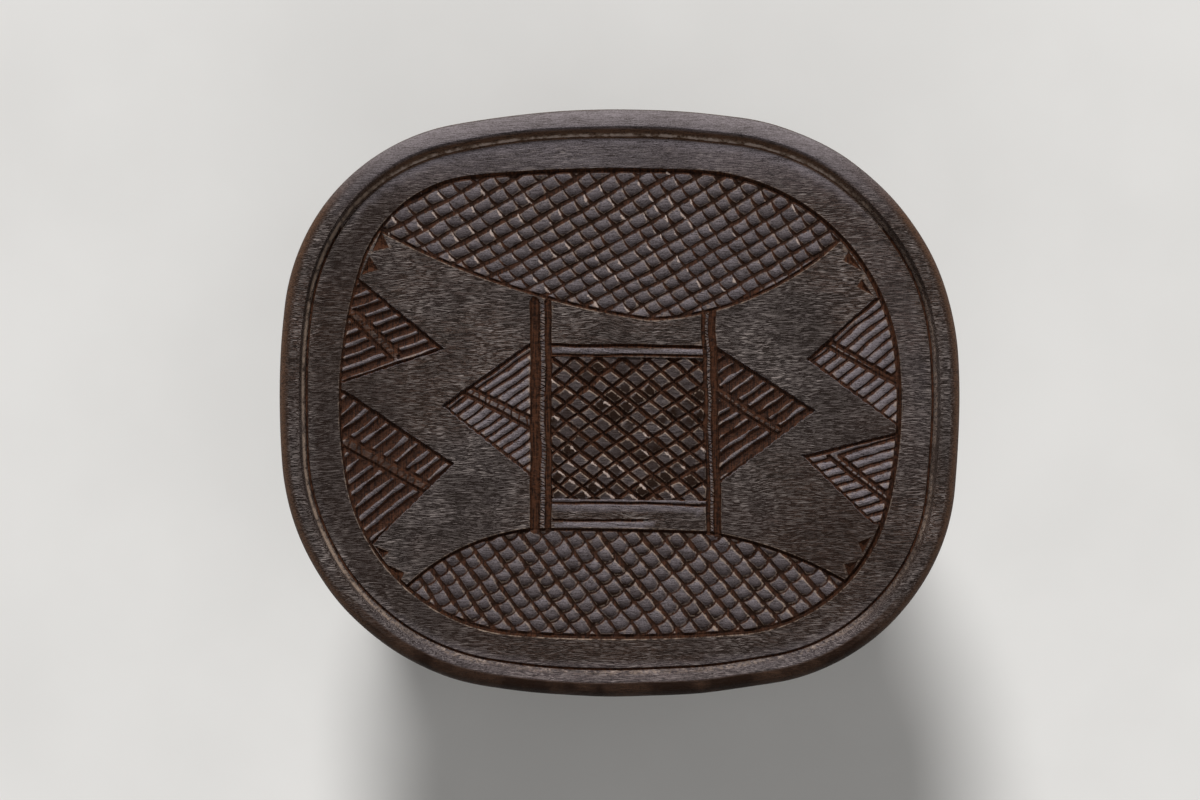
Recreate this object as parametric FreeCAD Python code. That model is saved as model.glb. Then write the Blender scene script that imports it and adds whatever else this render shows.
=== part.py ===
import FreeCAD
import Part
import math
import os

from FreeCAD import Vector

# Overall form of the stool, in millimetres, standing on its feet with +Z up.
height = 260.0
seat_half_width = 200.0
seat_half_depth = 173.0
seat_thickness = 46.0

# Seat outline: four shallow side arcs joined by four corner arcs. The corners
# run counter-clockwise from +X +Y and differ a little, as on a hand-cut board.
long_side_radius = 522.0
short_side_radius = 523.0
corner_radii = (150.0, 121.0, 145.0, 129.0)

# Raised lip round the seat face and the plain band inside it. Rounded edges
# are hewn in flats.
lip_width = 16.0
lip_crest_inset = 10.0
lip_height = 7.0
crest_radius = 8.0
lower_edge_radius = 14.0
edge_flats = 2
band_width = 20.3

# Carved field inside the band, bounded by one incised line.
field_long_radius = 900.0
field_short_radius = 262.0
field_corner_radii = (123.0, 75.0, 109.0, 95.0)
border_width = 3.4
border_depth = 2.9

# Cross-hatched panels above and below the middle. Angles are in degrees from
# +X, and pitch is measured across the cuts.
upper_rising_angle = 29.0
upper_rising_pitch = 8.2
upper_falling_angle = -49.0
upper_falling_pitch = 8.95
lower_rising_angle = 35.0
lower_rising_pitch = 9.1
lower_falling_angle = -51.5
lower_falling_pitch = 9.4
panel_cut_width = 3.0
panel_cut_depth = 2.4
panel_edge_width = 3.0
panel_edge_depth = 2.8

# Sunk centre square with its own lozenges.
square_sink = 0.9
square_rising_angle = 35.3
square_rising_pitch = 8.9
square_falling_angle = -40.5
square_falling_pitch = 8.35
square_cut_width = 3.4
square_cut_depth = 2.4

# Hatched triangles: ridges one way, broad in some and sharp in others.
ridge_pitch = 5.8
broad_ridge_cut = 2.2
sharp_ridge_cut = 4.4
ridge_cut_depth = 2.2

# Rails beside the square, fine lines above and below it, and corner pits.
rail_gap = 6.8
rail_width = 3.6
rail_depth = 2.2
line_width = 1.8
line_depth = 1.4
pit_depth = 2.6

# Legs: chamfered rectangular section, hewn to a waist, a collar and a
# spreading foot. Widths run along the seat edge, depths across it.
leg_count = 8
first_leg_angle = 22.5
leg_inset = 46.0
leg_splay = 4.0
leg_top_width = 46.0
leg_top_depth = 36.0
leg_waist_width = 30.0
leg_waist_depth = 26.0
leg_foot_width = 42.0
leg_foot_depth = 36.0
leg_chamfer = 6.0
leg_top_block = 16.0
leg_foot_block = 7.0
leg_flats = 3
collar_width = 39.0
collar_depth = 34.0
collar_drop = 96.0
collar_height = 19.0
collar_slope = 4.0

# Blind square-cut tenons on the legs, each spread by a hidden wedge.
tenon_width = 26.0
tenon_depth = 18.0
tenon_clearance = 0.15
tenon_end_gap = 1.0
wood_over_mortise = 13.0
wedge_length = 20.0
wedge_thick_end = 4.0
wedge_thin_end = 1.0

# Levels and lengths that follow from the sizes above.
underside = height - seat_thickness
face_level = height - lip_height
field_half_width = seat_half_width - lip_width - band_width
field_half_depth = seat_half_depth - lip_width - band_width
tenon_length = seat_thickness - lip_height - wood_over_mortise - tenon_end_gap
up = Vector(0.0, 0.0, 1.0)

# Cutting solids stand this far above the face and reach this far below it.
overcut = 0.4
carve_reach = 12.0


def arc_about(centre, first, last):
    """Shorter circular edge from first to last about a centre."""
    out = (first - centre) + (last - centre)
    return Part.Arc(first, centre + out.normalize() * (first - centre).Length, last).toShape()


class Oval:
    """Closed outline of eight tangent arcs, which can be drawn at any inset."""

    signs = ((1, 1), (-1, 1), (-1, -1), (1, -1))

    def __init__(self, half_width, half_depth, long_radius, short_radius, corners):
        self.half_width = half_width
        self.half_depth = half_depth
        self.long_radius = long_radius
        self.short_radius = short_radius
        self.corners = corners
        self.centres = [self.corner_centre(i) for i in range(4)]

    def side_centre(self, corner, on_long):
        """Centre of the long or the short side arc beside a corner."""
        sx, sy = self.signs[corner]
        if on_long:
            return Vector(0.0, sy * (self.half_depth - self.long_radius), 0.0)
        return Vector(sx * (self.half_width - self.short_radius), 0.0, 0.0)

    def corner_centre(self, corner):
        """Centre of the corner arc that is tangent inside both its side arcs."""
        sx, sy = self.signs[corner]
        start = self.side_centre(corner, True)
        span = self.side_centre(corner, False) - start
        long_reach = self.long_radius - self.corners[corner]
        short_reach = self.short_radius - self.corners[corner]
        along = (long_reach ** 2 - short_reach ** 2 + span.Length ** 2) / (2.0 * span.Length)
        off = math.sqrt(long_reach ** 2 - along ** 2)
        base = start + span * (along / span.Length)
        side = Vector(-span.y, span.x, 0.0) * (off / span.Length)
        return max(base + side, base - side, key=lambda point: point.x * sx + point.y * sy)

    def joint(self, corner, inset, on_long):
        """Point where a corner arc meets its long or its short side arc."""
        start = self.side_centre(corner, on_long)
        radius = self.long_radius if on_long else self.short_radius
        return start + (self.centres[corner] - start).normalize() * (radius - inset)

    def wire(self, inset, z):
        """Outline drawn in by inset, at height z."""
        edges = []
        for corner, (sx, sy) in enumerate(self.signs):
            leaves_on_long = sx * sy > 0
            first = self.joint(corner, inset, not leaves_on_long)
            last = self.joint(corner, inset, leaves_on_long)
            follow = self.joint((corner + 1) % 4, inset, leaves_on_long)
            edges.append(arc_about(self.centres[corner], first, last))
            edges.append(arc_about(self.side_centre(corner, leaves_on_long), last, follow))
        outline = Part.Wire(edges)
        outline.translate(up * z)
        return outline

    def solid(self, steps):
        """Solid whose side runs straight between (inset, z) steps."""
        return Part.makeLoft([self.wire(inset, z) for inset, z in steps], True, True)

    def hit(self, inset, angle):
        """Point of the inset outline in a direction, and its outward normal."""
        ray = Vector(math.cos(math.radians(angle)), math.sin(math.radians(angle)), 0.0)
        reach = Part.makeLine(Vector(), ray * (self.half_width + self.half_depth))
        point = self.wire(inset, 0.0).distToShape(reach)[1][0][0]
        outer = self.wire(inset - 1.0, 0.0).distToShape(Part.Vertex(point))[1][0][0]
        return point, (outer - point).normalize()


seat_oval = Oval(seat_half_width, seat_half_depth, long_side_radius, short_side_radius, corner_radii)
field_oval = Oval(field_half_width, field_half_depth, field_long_radius, field_short_radius,
                  field_corner_radii)


def on_field(u, v):
    """Place on the carved field, in shares of its half width and half depth."""
    return Vector(u * field_half_width, v * field_half_depth, face_level)


def groove_section(place, side, width, depth):
    """V-shaped section of a cut, its shoulders level with the place."""
    reach = side * (0.5 * width * (depth + overcut) / depth)
    top = place + up * overcut
    return Part.Face(Part.makePolygon([top + reach, top - reach, place - up * depth, top + reach]))


def groove(start, end, width, depth):
    """Straight V-shaped cut."""
    run = end - start
    side = up.cross(run).normalize()
    return groove_section(start, side, width, depth).extrude(run)


def arc_groove(edge, width, depth):
    """V-shaped cut that follows a circular edge."""
    circle = edge.Curve
    start = edge.valueAt(edge.FirstParameter)
    side = (start - circle.Center).normalize()
    sweep = math.degrees(edge.LastParameter - edge.FirstParameter)
    return groove_section(start, side, width, depth).revolve(circle.Center, circle.Axis, sweep)


def hatch(region, angle, pitch, width, depth, level):
    """Parallel V-shaped cuts across a region, trimmed to it."""
    box = region.BoundBox
    centre = Vector(box.Center.x, box.Center.y, level)
    reach = 0.5 * math.hypot(box.XLength, box.YLength)
    run = Vector(math.cos(math.radians(angle)), math.sin(math.radians(angle)), 0.0) * reach
    step = up.cross(run).normalize() * pitch
    count = int(reach / pitch) + 1
    cuts = []
    for index in range(-count, count + 1):
        middle = centre + step * index
        cuts.append(groove(middle - run, middle + run, width, depth))
    return Part.makeCompound(cuts).common(region)


def lines(points):
    """Straight edges joining the points in turn."""
    return [Part.makeLine(a, b) for a, b in zip(points, points[1:])]


def column(edges):
    """Upright solid over closed edges on the face, deep enough for any cut."""
    face = Part.Face(Part.Wire(edges))
    face.translate(up * -carve_reach)
    return face.extrude(up * (carve_reach + overcut))


def arcs_through(points):
    """Circular edges, each through three points and starting where the last ends."""
    return [Part.Arc(*points[i:i + 3]).toShape() for i in range(0, len(points) - 2, 2)]


class Carving:
    """Cuts of the seat face, kept in layers; the cuts of a layer don't meet."""

    def __init__(self):
        self.layers = [[] for _ in range(5)]
        self.field = field_oval.solid(((0.0, face_level - carve_reach), (0.0, face_level + overcut)))

    def add_border(self):
        """Incised line all round the field."""
        low = face_level - border_depth
        top = face_level + overcut
        half = 0.5 * border_width * (border_depth + overcut) / border_depth
        outside = field_oval.solid(((0.0, low), (-half, top)))
        self.layers[0].append(outside.cut(field_oval.solid(((0.0, low), (half, top)))))

    def add_panel(self, edge, frame, rising, falling):
        """Cross-hatched panel between a curved edge and the border."""
        points = [on_field(u, v) for u, v in edge]
        arcs = arcs_through(points)
        corners = [points[-1]] + [on_field(u, v) for u, v in frame] + [points[0]]
        region = column(arcs + lines(corners)).common(self.field)
        for index, arc in enumerate(arcs):
            self.layers[1 + index % 2].append(arc_groove(arc, panel_edge_width, panel_edge_depth))
        for layer, (angle, pitch) in zip(self.layers[3:], (rising, falling)):
            layer.append(hatch(region, angle, pitch, panel_cut_width, panel_cut_depth, face_level))

    def add_square(self, corners, rising, falling):
        """Sunk panel of lozenges."""
        points = [on_field(u, v) for u, v in corners]
        region = column(lines(points + points[:1]))
        level = face_level - square_sink
        sunk = region.copy()
        sunk.translate(up * (carve_reach - square_sink))
        self.layers[0].append(sunk)
        for layer, (angle, pitch) in zip(self.layers[3:], (rising, falling)):
            layer.append(hatch(region, angle, pitch, square_cut_width, square_cut_depth, level))

    def add_triangle(self, corners, angle, cut):
        """Triangle of ridges at an angle, trimmed to the field."""
        points = [on_field(u, v) for u, v in corners]
        region = column(lines(points + points[:1])).common(self.field)
        self.layers[1].append(hatch(region, angle, ridge_pitch, cut, ridge_cut_depth, face_level))

    def add_rail(self, top, bottom):
        """Ridge left standing between two straight grooves."""
        start = on_field(*top)
        end = on_field(*bottom)
        shift = up.cross(end - start).normalize() * (0.5 * rail_gap)
        for side in (shift, -shift):
            self.layers[0].append(groove(start + side, end + side, rail_width, rail_depth))

    def add_line(self, left, right):
        """Fine incised line."""
        self.layers[0].append(groove(on_field(*left), on_field(*right), line_width, line_depth))

    def add_pit(self, corners):
        """Three-sided pit, deepest under its middle."""
        points = [on_field(u, v) for u, v in corners]
        middle = (points[0] + points[1] + points[2]) * (1.0 / 3.0)
        scale = (pit_depth + overcut) / pit_depth
        upper = [middle + (point - middle) * scale + up * overcut for point in points]
        rim = Part.makePolygon(upper + upper[:1])
        apex = Part.Vertex(middle - up * pit_depth)
        self.layers[1].append(Part.makeLoft([rim, apex], True, True))

    def cut_from(self, solid):
        """The solid with every layer cut away."""
        for layer in self.layers:
            solid = solid.cut(Part.makeCompound(layer))
        return solid


def carve_face():
    """Whole pattern of the seat face, in shares of the field."""
    carving = Carving()
    carving.add_border()
    carving.add_panel(
        ((-0.843, 0.739), (-0.4215, 0.519), (0.110, 0.366), (0.470, 0.461), (0.782, 0.702)),
        ((1.1, 0.95), (1.1, 1.2), (-1.1, 1.2), (-1.1, 0.85)),
        (upper_rising_angle, upper_rising_pitch), (upper_falling_angle, upper_falling_pitch))
    carving.add_panel(
        ((-0.7605, -0.783), (-0.583, -0.633), (-0.3146, -0.538), (0.0, -0.541), (0.3146, -0.552),
         (0.550, -0.622), (0.800, -0.757)),
        ((1.1, -0.95), (1.1, -1.2), (-1.1, -1.2), (-1.1, -1.0)),
        (lower_rising_angle, lower_rising_pitch), (lower_falling_angle, lower_falling_pitch))
    carving.add_square(
        ((-0.246, 0.211), (0.300, 0.211), (0.318, -0.413), (-0.246, -0.413)),
        (square_rising_angle, square_rising_pitch), (square_falling_angle, square_falling_pitch))

    # Triangles on the left and right rail, then on the border: left upper,
    # left lower, right upper and right lower.
    for corners, angle, cut in (
        (((-0.638, -0.004), (-0.318, 0.267), (-0.318, -0.310)), 35.0, broad_ridge_cut),
        (((0.702, -0.026), (0.347, 0.250), (0.357, -0.340)), 33.0, sharp_ridge_cut),
        (((-0.623, 0.237), (-0.929, 0.538), (-1.1, 0.538), (-1.1, 0.094), (-0.983, 0.094)), 20.0,
         sharp_ridge_cut),
        (((-0.591, -0.254), (-0.980, 0.060), (-1.1, 0.060), (-1.1, -0.606), (-0.889, -0.606)), 37.0,
         sharp_ridge_cut),
        (((0.666, 0.194), (0.911, 0.456), (1.1, 0.456), (1.1, -0.091), (0.990, -0.091)), 36.0,
         broad_ridge_cut),
        (((0.652, -0.219), (0.983, -0.121), (1.1, -0.121), (1.1, -0.516), (0.907, -0.516)), 17.0,
         broad_ridge_cut),
    ):
        carving.add_triangle(corners, angle, cut)

    carving.add_rail((-0.279, 0.440), (-0.279, -0.537))
    carving.add_rail((0.3235, 0.395), (0.3450, -0.558))
    carving.add_line((-0.235, 0.253), (0.290, 0.247))
    carving.add_line((-0.235, -0.436), (0.306, -0.436))
    carving.add_line((-0.230, -0.512), (0.060, -0.508))

    # Pairs of pits along the border, counter-clockwise from +X +Y.
    for corners in (
        ((0.792, 0.650), (0.797, 0.605), (0.858, 0.578)),
        ((0.856, 0.534), (0.838, 0.501), (0.896, 0.458)),
        ((-0.841, 0.724), (-0.822, 0.666), (-0.878, 0.654)),
        ((-0.888, 0.636), (-0.853, 0.572), (-0.912, 0.552)),
        ((-0.868, -0.616), (-0.819, -0.628), (-0.842, -0.662)),
        ((-0.836, -0.678), (-0.764, -0.716), (-0.778, -0.748)),
        ((0.891, -0.570), (0.847, -0.588), (0.858, -0.640)),
        ((0.848, -0.672), (0.801, -0.676), (0.808, -0.738)),
    ):
        carving.add_pit(corners)
    return carving


def hewn_edge(radius):
    """Steps (inset, rise) of a rounded edge cut in flats, outside first."""
    steps = []
    for index in range(edge_flats + 1):
        angle = math.radians(90.0 * index / edge_flats)
        steps.append((radius * (1.0 - math.cos(angle)), radius * (math.sin(angle) - 1.0)))
    return steps


def leg_placements():
    """Where the legs stand: local +Z up the leg, local +Y out of the seat."""
    placements = []
    for index in range(leg_count):
        point, normal = seat_oval.hit(leg_inset, first_leg_angle + index * 360.0 / leg_count)
        turn = math.degrees(math.atan2(normal.y, normal.x)) - 90.0
        stand = FreeCAD.Placement(point + up * underside, FreeCAD.Rotation(up, turn))
        lean = FreeCAD.Placement(Vector(), FreeCAD.Rotation(Vector(1.0, 0.0, 0.0), leg_splay))
        placements.append(stand.multiply(lean))
    return placements


def placed(solid, placement):
    """Copy of a solid made in the leg frame, moved to its leg."""
    moved = solid.copy()
    moved.Placement = placement
    return moved


def tenon_block(clearance, top):
    """Square-cut block up the leg axis, from inside the leg to a top level."""
    width = tenon_width + 2.0 * clearance
    depth = tenon_depth + 2.0 * clearance
    corner = Vector(-0.5 * width, -0.5 * depth, -leg_top_block)
    return Part.makeBox(width, depth, top + leg_top_block, corner)


def build_seat(placements):
    """Seat board with its lip, carved face and blind mortises."""
    steps = [(inset, underside - rise) for inset, rise in reversed(hewn_edge(lower_edge_radius))]
    steps += [(inset, height + rise) for inset, rise in hewn_edge(crest_radius)]
    seat = seat_oval.solid(steps)
    slope = lip_width - lip_crest_inset
    seat = seat.cut(seat_oval.solid(((lip_width, face_level),
                                     (lip_crest_inset - slope, height + lip_height))))
    seat = carve_face().cut_from(seat)
    mortise = tenon_block(tenon_clearance, tenon_length + tenon_end_gap)
    return seat.cut(Part.makeCompound([placed(mortise, placement) for placement in placements]))


def leg_section(width, depth, z):
    """Corners of the chamfered rectangle across a leg."""
    x = 0.5 * width
    y = 0.5 * depth
    c = leg_chamfer
    return [Vector(x, y - c, z), Vector(x - c, y, z), Vector(c - x, y, z), Vector(-x, y - c, z),
            Vector(-x, c - y, z), Vector(c - x, -y, z), Vector(x - c, -y, z), Vector(x, c - y, z)]


def flat(corners):
    """Plane face with the given corners."""
    return Part.Face(Part.makePolygon(corners + corners[:1]))


def hewn_solid(sections):
    """Solid with plane flats between one section and the next."""
    faces = [flat(sections[0]), flat(sections[-1])]
    for upper, lower in zip(sections, sections[1:]):
        for index in range(len(upper)):
            after = (index + 1) % len(upper)
            faces.append(flat([upper[index], upper[after], lower[after], lower[index]]))
    return Part.Solid(Part.Shell(faces))


def swept_sections(wide, narrow, z_wide, z_narrow):
    """Sections that ease in a hollow curve from a wide to a narrow size."""
    sections = []
    for index in range(leg_flats + 1):
        share = index / leg_flats
        swell = (1.0 - share) ** 2
        width = narrow[0] + (wide[0] - narrow[0]) * swell
        depth = narrow[1] + (wide[1] - narrow[1]) * swell
        sections.append(leg_section(width, depth, z_wide + (z_narrow - z_wide) * share))
    return sections


def leg_blank():
    """Leg in its own frame, running past both ends so that it can be trimmed."""
    top = (leg_top_width, leg_top_depth)
    waist = (leg_waist_width, leg_waist_depth)
    foot = (leg_foot_width, leg_foot_depth)
    collar = (collar_width, collar_depth)
    spare = leg_top_depth
    floor = -underside / math.cos(math.radians(leg_splay))
    collar_top = -collar_drop
    collar_low = collar_top - collar_height
    sections = [leg_section(*top, spare)]
    sections += swept_sections(top, waist, -leg_top_block, collar_top)
    sections += [leg_section(*collar, collar_top - collar_slope),
                 leg_section(*collar, collar_low + collar_slope)]
    sections += reversed(swept_sections(foot, waist, floor + leg_foot_block, collar_low))
    sections.append(leg_section(*foot, floor - spare))
    return hewn_solid(sections)


def wedge_blank():
    """Tenon wedge in the leg frame, its thick end on the mortise bottom."""
    top = tenon_length + tenon_end_gap
    low = top - wedge_length
    thick = 0.5 * wedge_thick_end
    thin = 0.5 * wedge_thin_end
    front = -0.5 * tenon_depth
    side = flat([Vector(x, front, z) for x, z in ((thick, top), (-thick, top), (-thin, low), (thin, low))])
    return side.extrude(Vector(0.0, tenon_depth, 0.0))


def build_leg(blank, wedge, placement):
    """Leg trimmed to the floor and the seat, with its split tenon."""
    reach = 4.0 * (seat_half_width + seat_half_depth)
    room = Part.makeBox(reach, reach, underside, Vector(-0.5 * reach, -0.5 * reach, 0.0))
    leg = placed(blank, placement).common(room)
    leg = leg.fuse(placed(tenon_block(0.0, tenon_length), placement))
    return leg.cut(placed(wedge, placement))


os.makedirs("parts", exist_ok=True)
leg_spots = leg_placements()
build_seat(leg_spots).exportStep("parts/seat.step")
leg_shape = leg_blank()
wedge_shape = wedge_blank()
for number, spot in enumerate(leg_spots, start=1):
    build_leg(leg_shape, wedge_shape, spot).exportStep("parts/leg_%d.step" % number)
    placed(wedge_shape, spot).exportStep("parts/tenon_wedge_%d.step" % number)
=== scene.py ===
"""Carved wooden stool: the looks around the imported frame.

The seat is one carved mesh. Its face is triangulated along the lines of the carving, so that each
cut has edges of its own, and is then sunk to the depth of the cuts. The legs come from a tree of
Geometry Nodes, one plain mesh each. Sizes are in metres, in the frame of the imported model.
"""
import logging
import math
from dataclasses import dataclass, field
from enum import Enum

import bpy
import numpy as np
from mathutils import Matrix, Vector
from mathutils.geometry import delaunay_2d_cdt
from numpy.linalg import norm


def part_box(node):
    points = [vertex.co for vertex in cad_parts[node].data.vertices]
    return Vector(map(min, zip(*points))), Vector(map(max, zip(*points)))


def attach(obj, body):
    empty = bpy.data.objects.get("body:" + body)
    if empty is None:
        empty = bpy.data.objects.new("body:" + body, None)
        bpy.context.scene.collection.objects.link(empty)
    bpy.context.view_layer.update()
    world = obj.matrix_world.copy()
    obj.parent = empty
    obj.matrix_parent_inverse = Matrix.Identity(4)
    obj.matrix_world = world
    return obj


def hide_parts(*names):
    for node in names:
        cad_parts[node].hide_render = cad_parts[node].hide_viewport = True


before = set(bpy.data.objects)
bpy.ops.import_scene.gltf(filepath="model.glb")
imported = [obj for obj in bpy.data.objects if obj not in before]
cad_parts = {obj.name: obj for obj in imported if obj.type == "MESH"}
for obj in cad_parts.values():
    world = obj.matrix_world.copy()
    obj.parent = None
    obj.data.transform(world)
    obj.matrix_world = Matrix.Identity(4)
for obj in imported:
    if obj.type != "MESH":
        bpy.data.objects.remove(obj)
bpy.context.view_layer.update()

log = logging.getLogger("stool")

Values = np.ndarray
Places = np.ndarray
Lines = list[Places]
Spot = tuple[float, float]
Triple = tuple[float, float, float]
Colour = Triple

ROOT = "root"
MILLIMETRE = 0.001
MARKS = ("cut_edge", "cut_depth", "panel", "chip", "rub", "brown", "grime_and_shade")

# Reach and length of the quick and of the slow swings of a hand-held chisel.
QUICK_SWING = (0.0003, 0.012)
SLOW_SWING = (0.0008, 0.040)

# Distance from a worn edge that counts as far from any.
FAR_FROM_EDGE = 0.02


class GrainAxis(Enum):
    """Direction that the fibres of a piece run in."""

    ALONG_X = 0
    ALONG_Z = 2


def scatter(seed: int, *index: Values) -> Values:
    """Repeatable uneven numbers for whole-number indices.

    Args:
        seed: Chooses one of many independent sets of numbers.
        index: One or more arrays of whole numbers, of matching shape.

    Returns:
        Numbers from 0 to 1, one for each set of indices.
    """
    mixed = 0.731 * seed + 0.173
    for order, value in enumerate(index):
        mixed = mixed + np.asarray(value, float) * (12.9898 + 65.2432 * order)
    return np.modf(np.abs(np.sin(mixed) * 43758.5453))[0]


def ripple(places: Places, length: float, seed: int) -> Values:
    """Gentle uneven swell of a hand-worked surface.

    Args:
        places: Rows of (x, y).
        length: Typical distance from one crest to the next.
        seed: Chooses the swell.

    Returns:
        Values between -1 and 1.
    """
    waves = 6
    total = np.zeros(len(places))
    for wave in range(waves):
        turn = 2.0 * math.pi * scatter(seed, wave)
        span = length * (0.6 + 0.9 * scatter(seed + 1, wave))
        shift = 2.0 * math.pi * scatter(seed + 2, wave)
        run = places[:, 0] * math.cos(turn) + places[:, 1] * math.sin(turn)
        total += np.sin(2.0 * math.pi * run / span + shift)
    return total / waves


def unsteady(places: Places) -> Places:
    """Sideways shift of a hand-held chisel at each place.

    Args:
        places: Rows of (x, y).

    Returns:
        Rows of shifts.
    """
    (quick, quick_length), (slow, slow_length) = QUICK_SWING, SLOW_SWING
    shifts = [quick * ripple(places, quick_length, seed) + slow * ripple(places, slow_length, seed + 5)
              for seed in (61, 67)]
    return np.stack(shifts, axis=1)


def unit(values: Values) -> Values:
    """Values kept between 0 and 1."""
    return np.clip(values, 0.0, 1.0)


def between(ends: Spot, share: Values) -> Values:
    """Value at a share of the way from the first of two ends to the second."""
    return ends[0] + (ends[1] - ends[0]) * share


def closed(loop: Places) -> Places:
    """Loop that ends at its first point."""
    return np.vstack([loop, loop[:1]])


def loop_edges(first: int, count: int) -> list[tuple[int, int]]:
    """Edges round a loop of points, by their numbers."""
    return [(first + index, first + (index + 1) % count) for index in range(count)]


def sideways(run: Places) -> Places:
    """Unit direction square to a run, on its left."""
    return np.array([-run[1], run[0]]) / norm(run)


def headings(angles: Values) -> Places:
    """Unit directions at angles from +X."""
    return np.stack([np.cos(angles), np.sin(angles)], axis=1)


def straight(a: Places, b: Places, step: float) -> Places:
    """Points of a straight line, about one step apart."""
    count = max(2, round(float(norm(b - a)) / step))
    return a + np.linspace(0.0, 1.0, count + 1)[:, None] * (b - a)


def along_line(places: Places, start: Spot, end: Spot) -> tuple[Values, Values]:
    """Share of the way along a line that each place lies at, and its distance from the line.

    Args:
        places: Rows of (x, y).
        start: First end.
        end: Last end.

    Returns:
        Shares and distances.
    """
    a, run = np.array(start), np.array(end) - np.array(start)
    share = (places - a) @ run / (run @ run)
    return share, norm(places - a - unit(share)[:, None] * run, axis=1)


def cut_share(off: Values, half: Values | float, floor: float, lean: float) -> Values:
    """How far down a cut a place lies.

    Args:
        off: Signed distance from the middle of the cut.
        half: Half width of the cut.
        floor: Share of the width that is flat at the bottom.
        lean: How far the valley lies to the positive side, as a share of the half width.

    Returns:
        0 at the shoulders and 1 in the valley.
    """
    middle = lean * half
    reach = np.where(off > middle, half - middle, half + middle)
    return unit((1.0 - np.abs(off - middle) / reach) / (1.0 - floor))


def kept_runs(line: Places, keep: Values) -> Lines:
    """Runs of a line whose points are all kept.

    Args:
        line: Points of the line in order.
        keep: One truth value for each point.

    Returns:
        The runs that have two points or more.
    """
    kept = np.flatnonzero(keep)
    runs = np.split(kept, np.flatnonzero(np.diff(kept) > 1) + 1)
    return [line[run] for run in runs if len(run) > 1]


def half_planes(corners: Places, places: Places) -> Values:
    """Distance of places inside a convex polygon, negative outside it.

    Args:
        corners: Corners of the polygon in order.
        places: Rows of (x, y).

    Returns:
        One distance for each place.
    """
    loop = closed(corners)
    turn = np.sign(np.sum(loop[:-1, 0] * loop[1:, 1] - loop[1:, 0] * loop[:-1, 1]))
    gaps = []
    for corner, run in zip(corners, np.diff(loop, axis=0)):
        off = places - corner
        gaps.append(turn * (run[0] * off[:, 1] - run[1] * off[:, 0]) / norm(run))
    return np.min(gaps, axis=0)


@dataclass
class Oval:
    """Closed outline of eight tangent arcs, which can be drawn at any inset."""

    half_width: float
    half_depth: float
    long_radius: float
    short_radius: float
    corners: tuple[float, ...]
    signs: tuple[Spot, ...] = ((1, 1), (-1, 1), (-1, -1), (1, -1))
    arcs: list[tuple[Places, float, float, float]] = field(init=False)

    def __post_init__(self) -> None:
        """Works out centre, radius, first angle and sweep of each arc."""
        self.arcs = []
        for corner, (sx, sy) in enumerate(self.signs):
            on_long = sx * sy > 0
            side, radius = self.side(corner, on_long)
            first = self.joint_angle(corner, not on_long)
            last = self.joint_angle(corner, on_long)
            follow = self.joint_angle((corner + 1) % 4, on_long)
            turn = 2.0 * math.pi
            self.arcs.append((self.corner_centre(corner), self.corners[corner], first, (last - first) % turn))
            self.arcs.append((side, radius, last, (follow - last) % turn))

    def side(self, corner: int, on_long: bool) -> tuple[Places, float]:
        """Centre and radius of the long or the short side arc beside a corner.

        Args:
            corner: Number of the corner.
            on_long: Whether it is the long side.

        Returns:
            Centre and radius.
        """
        sx, sy = self.signs[corner]
        if on_long:
            return np.array([0.0, sy * (self.half_depth - self.long_radius)]), self.long_radius
        return np.array([sx * (self.half_width - self.short_radius), 0.0]), self.short_radius

    def corner_centre(self, corner: int) -> Places:
        """Centre of the corner arc that is tangent inside both its side arcs.

        Args:
            corner: Number of the corner.

        Returns:
            The centre.
        """
        start, long_radius = self.side(corner, True)
        end, short_radius = self.side(corner, False)
        span = end - start
        length = norm(span)
        long_reach = long_radius - self.corners[corner]
        short_reach = short_radius - self.corners[corner]
        along = (long_reach ** 2 - short_reach ** 2 + length ** 2) / (2.0 * length)
        off = math.sqrt(long_reach ** 2 - along ** 2)
        base = start + span * (along / length)
        side = np.array([-span[1], span[0]]) * (off / length)
        return max(base + side, base - side, key=lambda spot: float(spot @ self.signs[corner]))

    def joint_angle(self, corner: int, on_long: bool) -> float:
        """Direction of the outward normal where a corner arc meets a side arc."""
        out = self.corner_centre(corner) - self.side(corner, on_long)[0]
        return math.atan2(out[1], out[0])

    def ring(self, step: float) -> "Ring":
        """Stations all round the outline, about one step apart.

        Args:
            step: Distance from station to station.

        Returns:
            The stations in order.
        """
        rows = []
        for centre, radius, first, sweep in self.arcs:
            count = max(2, round(radius * sweep / step))
            rows += [(*centre, radius, first + sweep * index / count) for index in range(count)]
        stations = np.array(rows)
        return Ring(stations[:, :2], stations[:, 2], headings(stations[:, 3]))

    def inset(self, places: Places) -> Values:
        """Distance of places inside the outline, negative outside it.

        Args:
            places: Rows of (x, y).

        Returns:
            One distance for each place.
        """
        nearest = np.full(len(places), self.half_depth)
        for centre, radius, first, sweep in self.arcs:
            out = places - centre
            turn = (np.arctan2(out[:, 1], out[:, 0]) - first) % (2.0 * math.pi)
            depth = np.where(turn <= sweep, radius - norm(out, axis=1), np.inf)
            nearest = np.minimum(nearest, depth)
        return nearest

    def hit(self, inset: float, angle: float) -> tuple[Places, Places]:
        """Point of the inset outline in a direction from the middle, and its outward normal.

        Args:
            inset: Distance inside the outline.
            angle: Direction in radians from +X.

        Returns:
            The point and the unit normal.
        """
        ray = np.array([math.cos(angle), math.sin(angle)])
        low, high = 0.0, self.half_width + self.half_depth
        for _ in range(50):
            middle = 0.5 * (low + high)
            if self.inset((ray * middle)[None])[0] > inset:
                low = middle
            else:
                high = middle
        point = ray * low
        around = self.inset(point + 0.01 * MILLIMETRE * np.array([(1, 0), (-1, 0), (0, 1), (0, -1)]))
        normal = np.array([around[1] - around[0], around[3] - around[2]])
        return point, normal / norm(normal)


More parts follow.
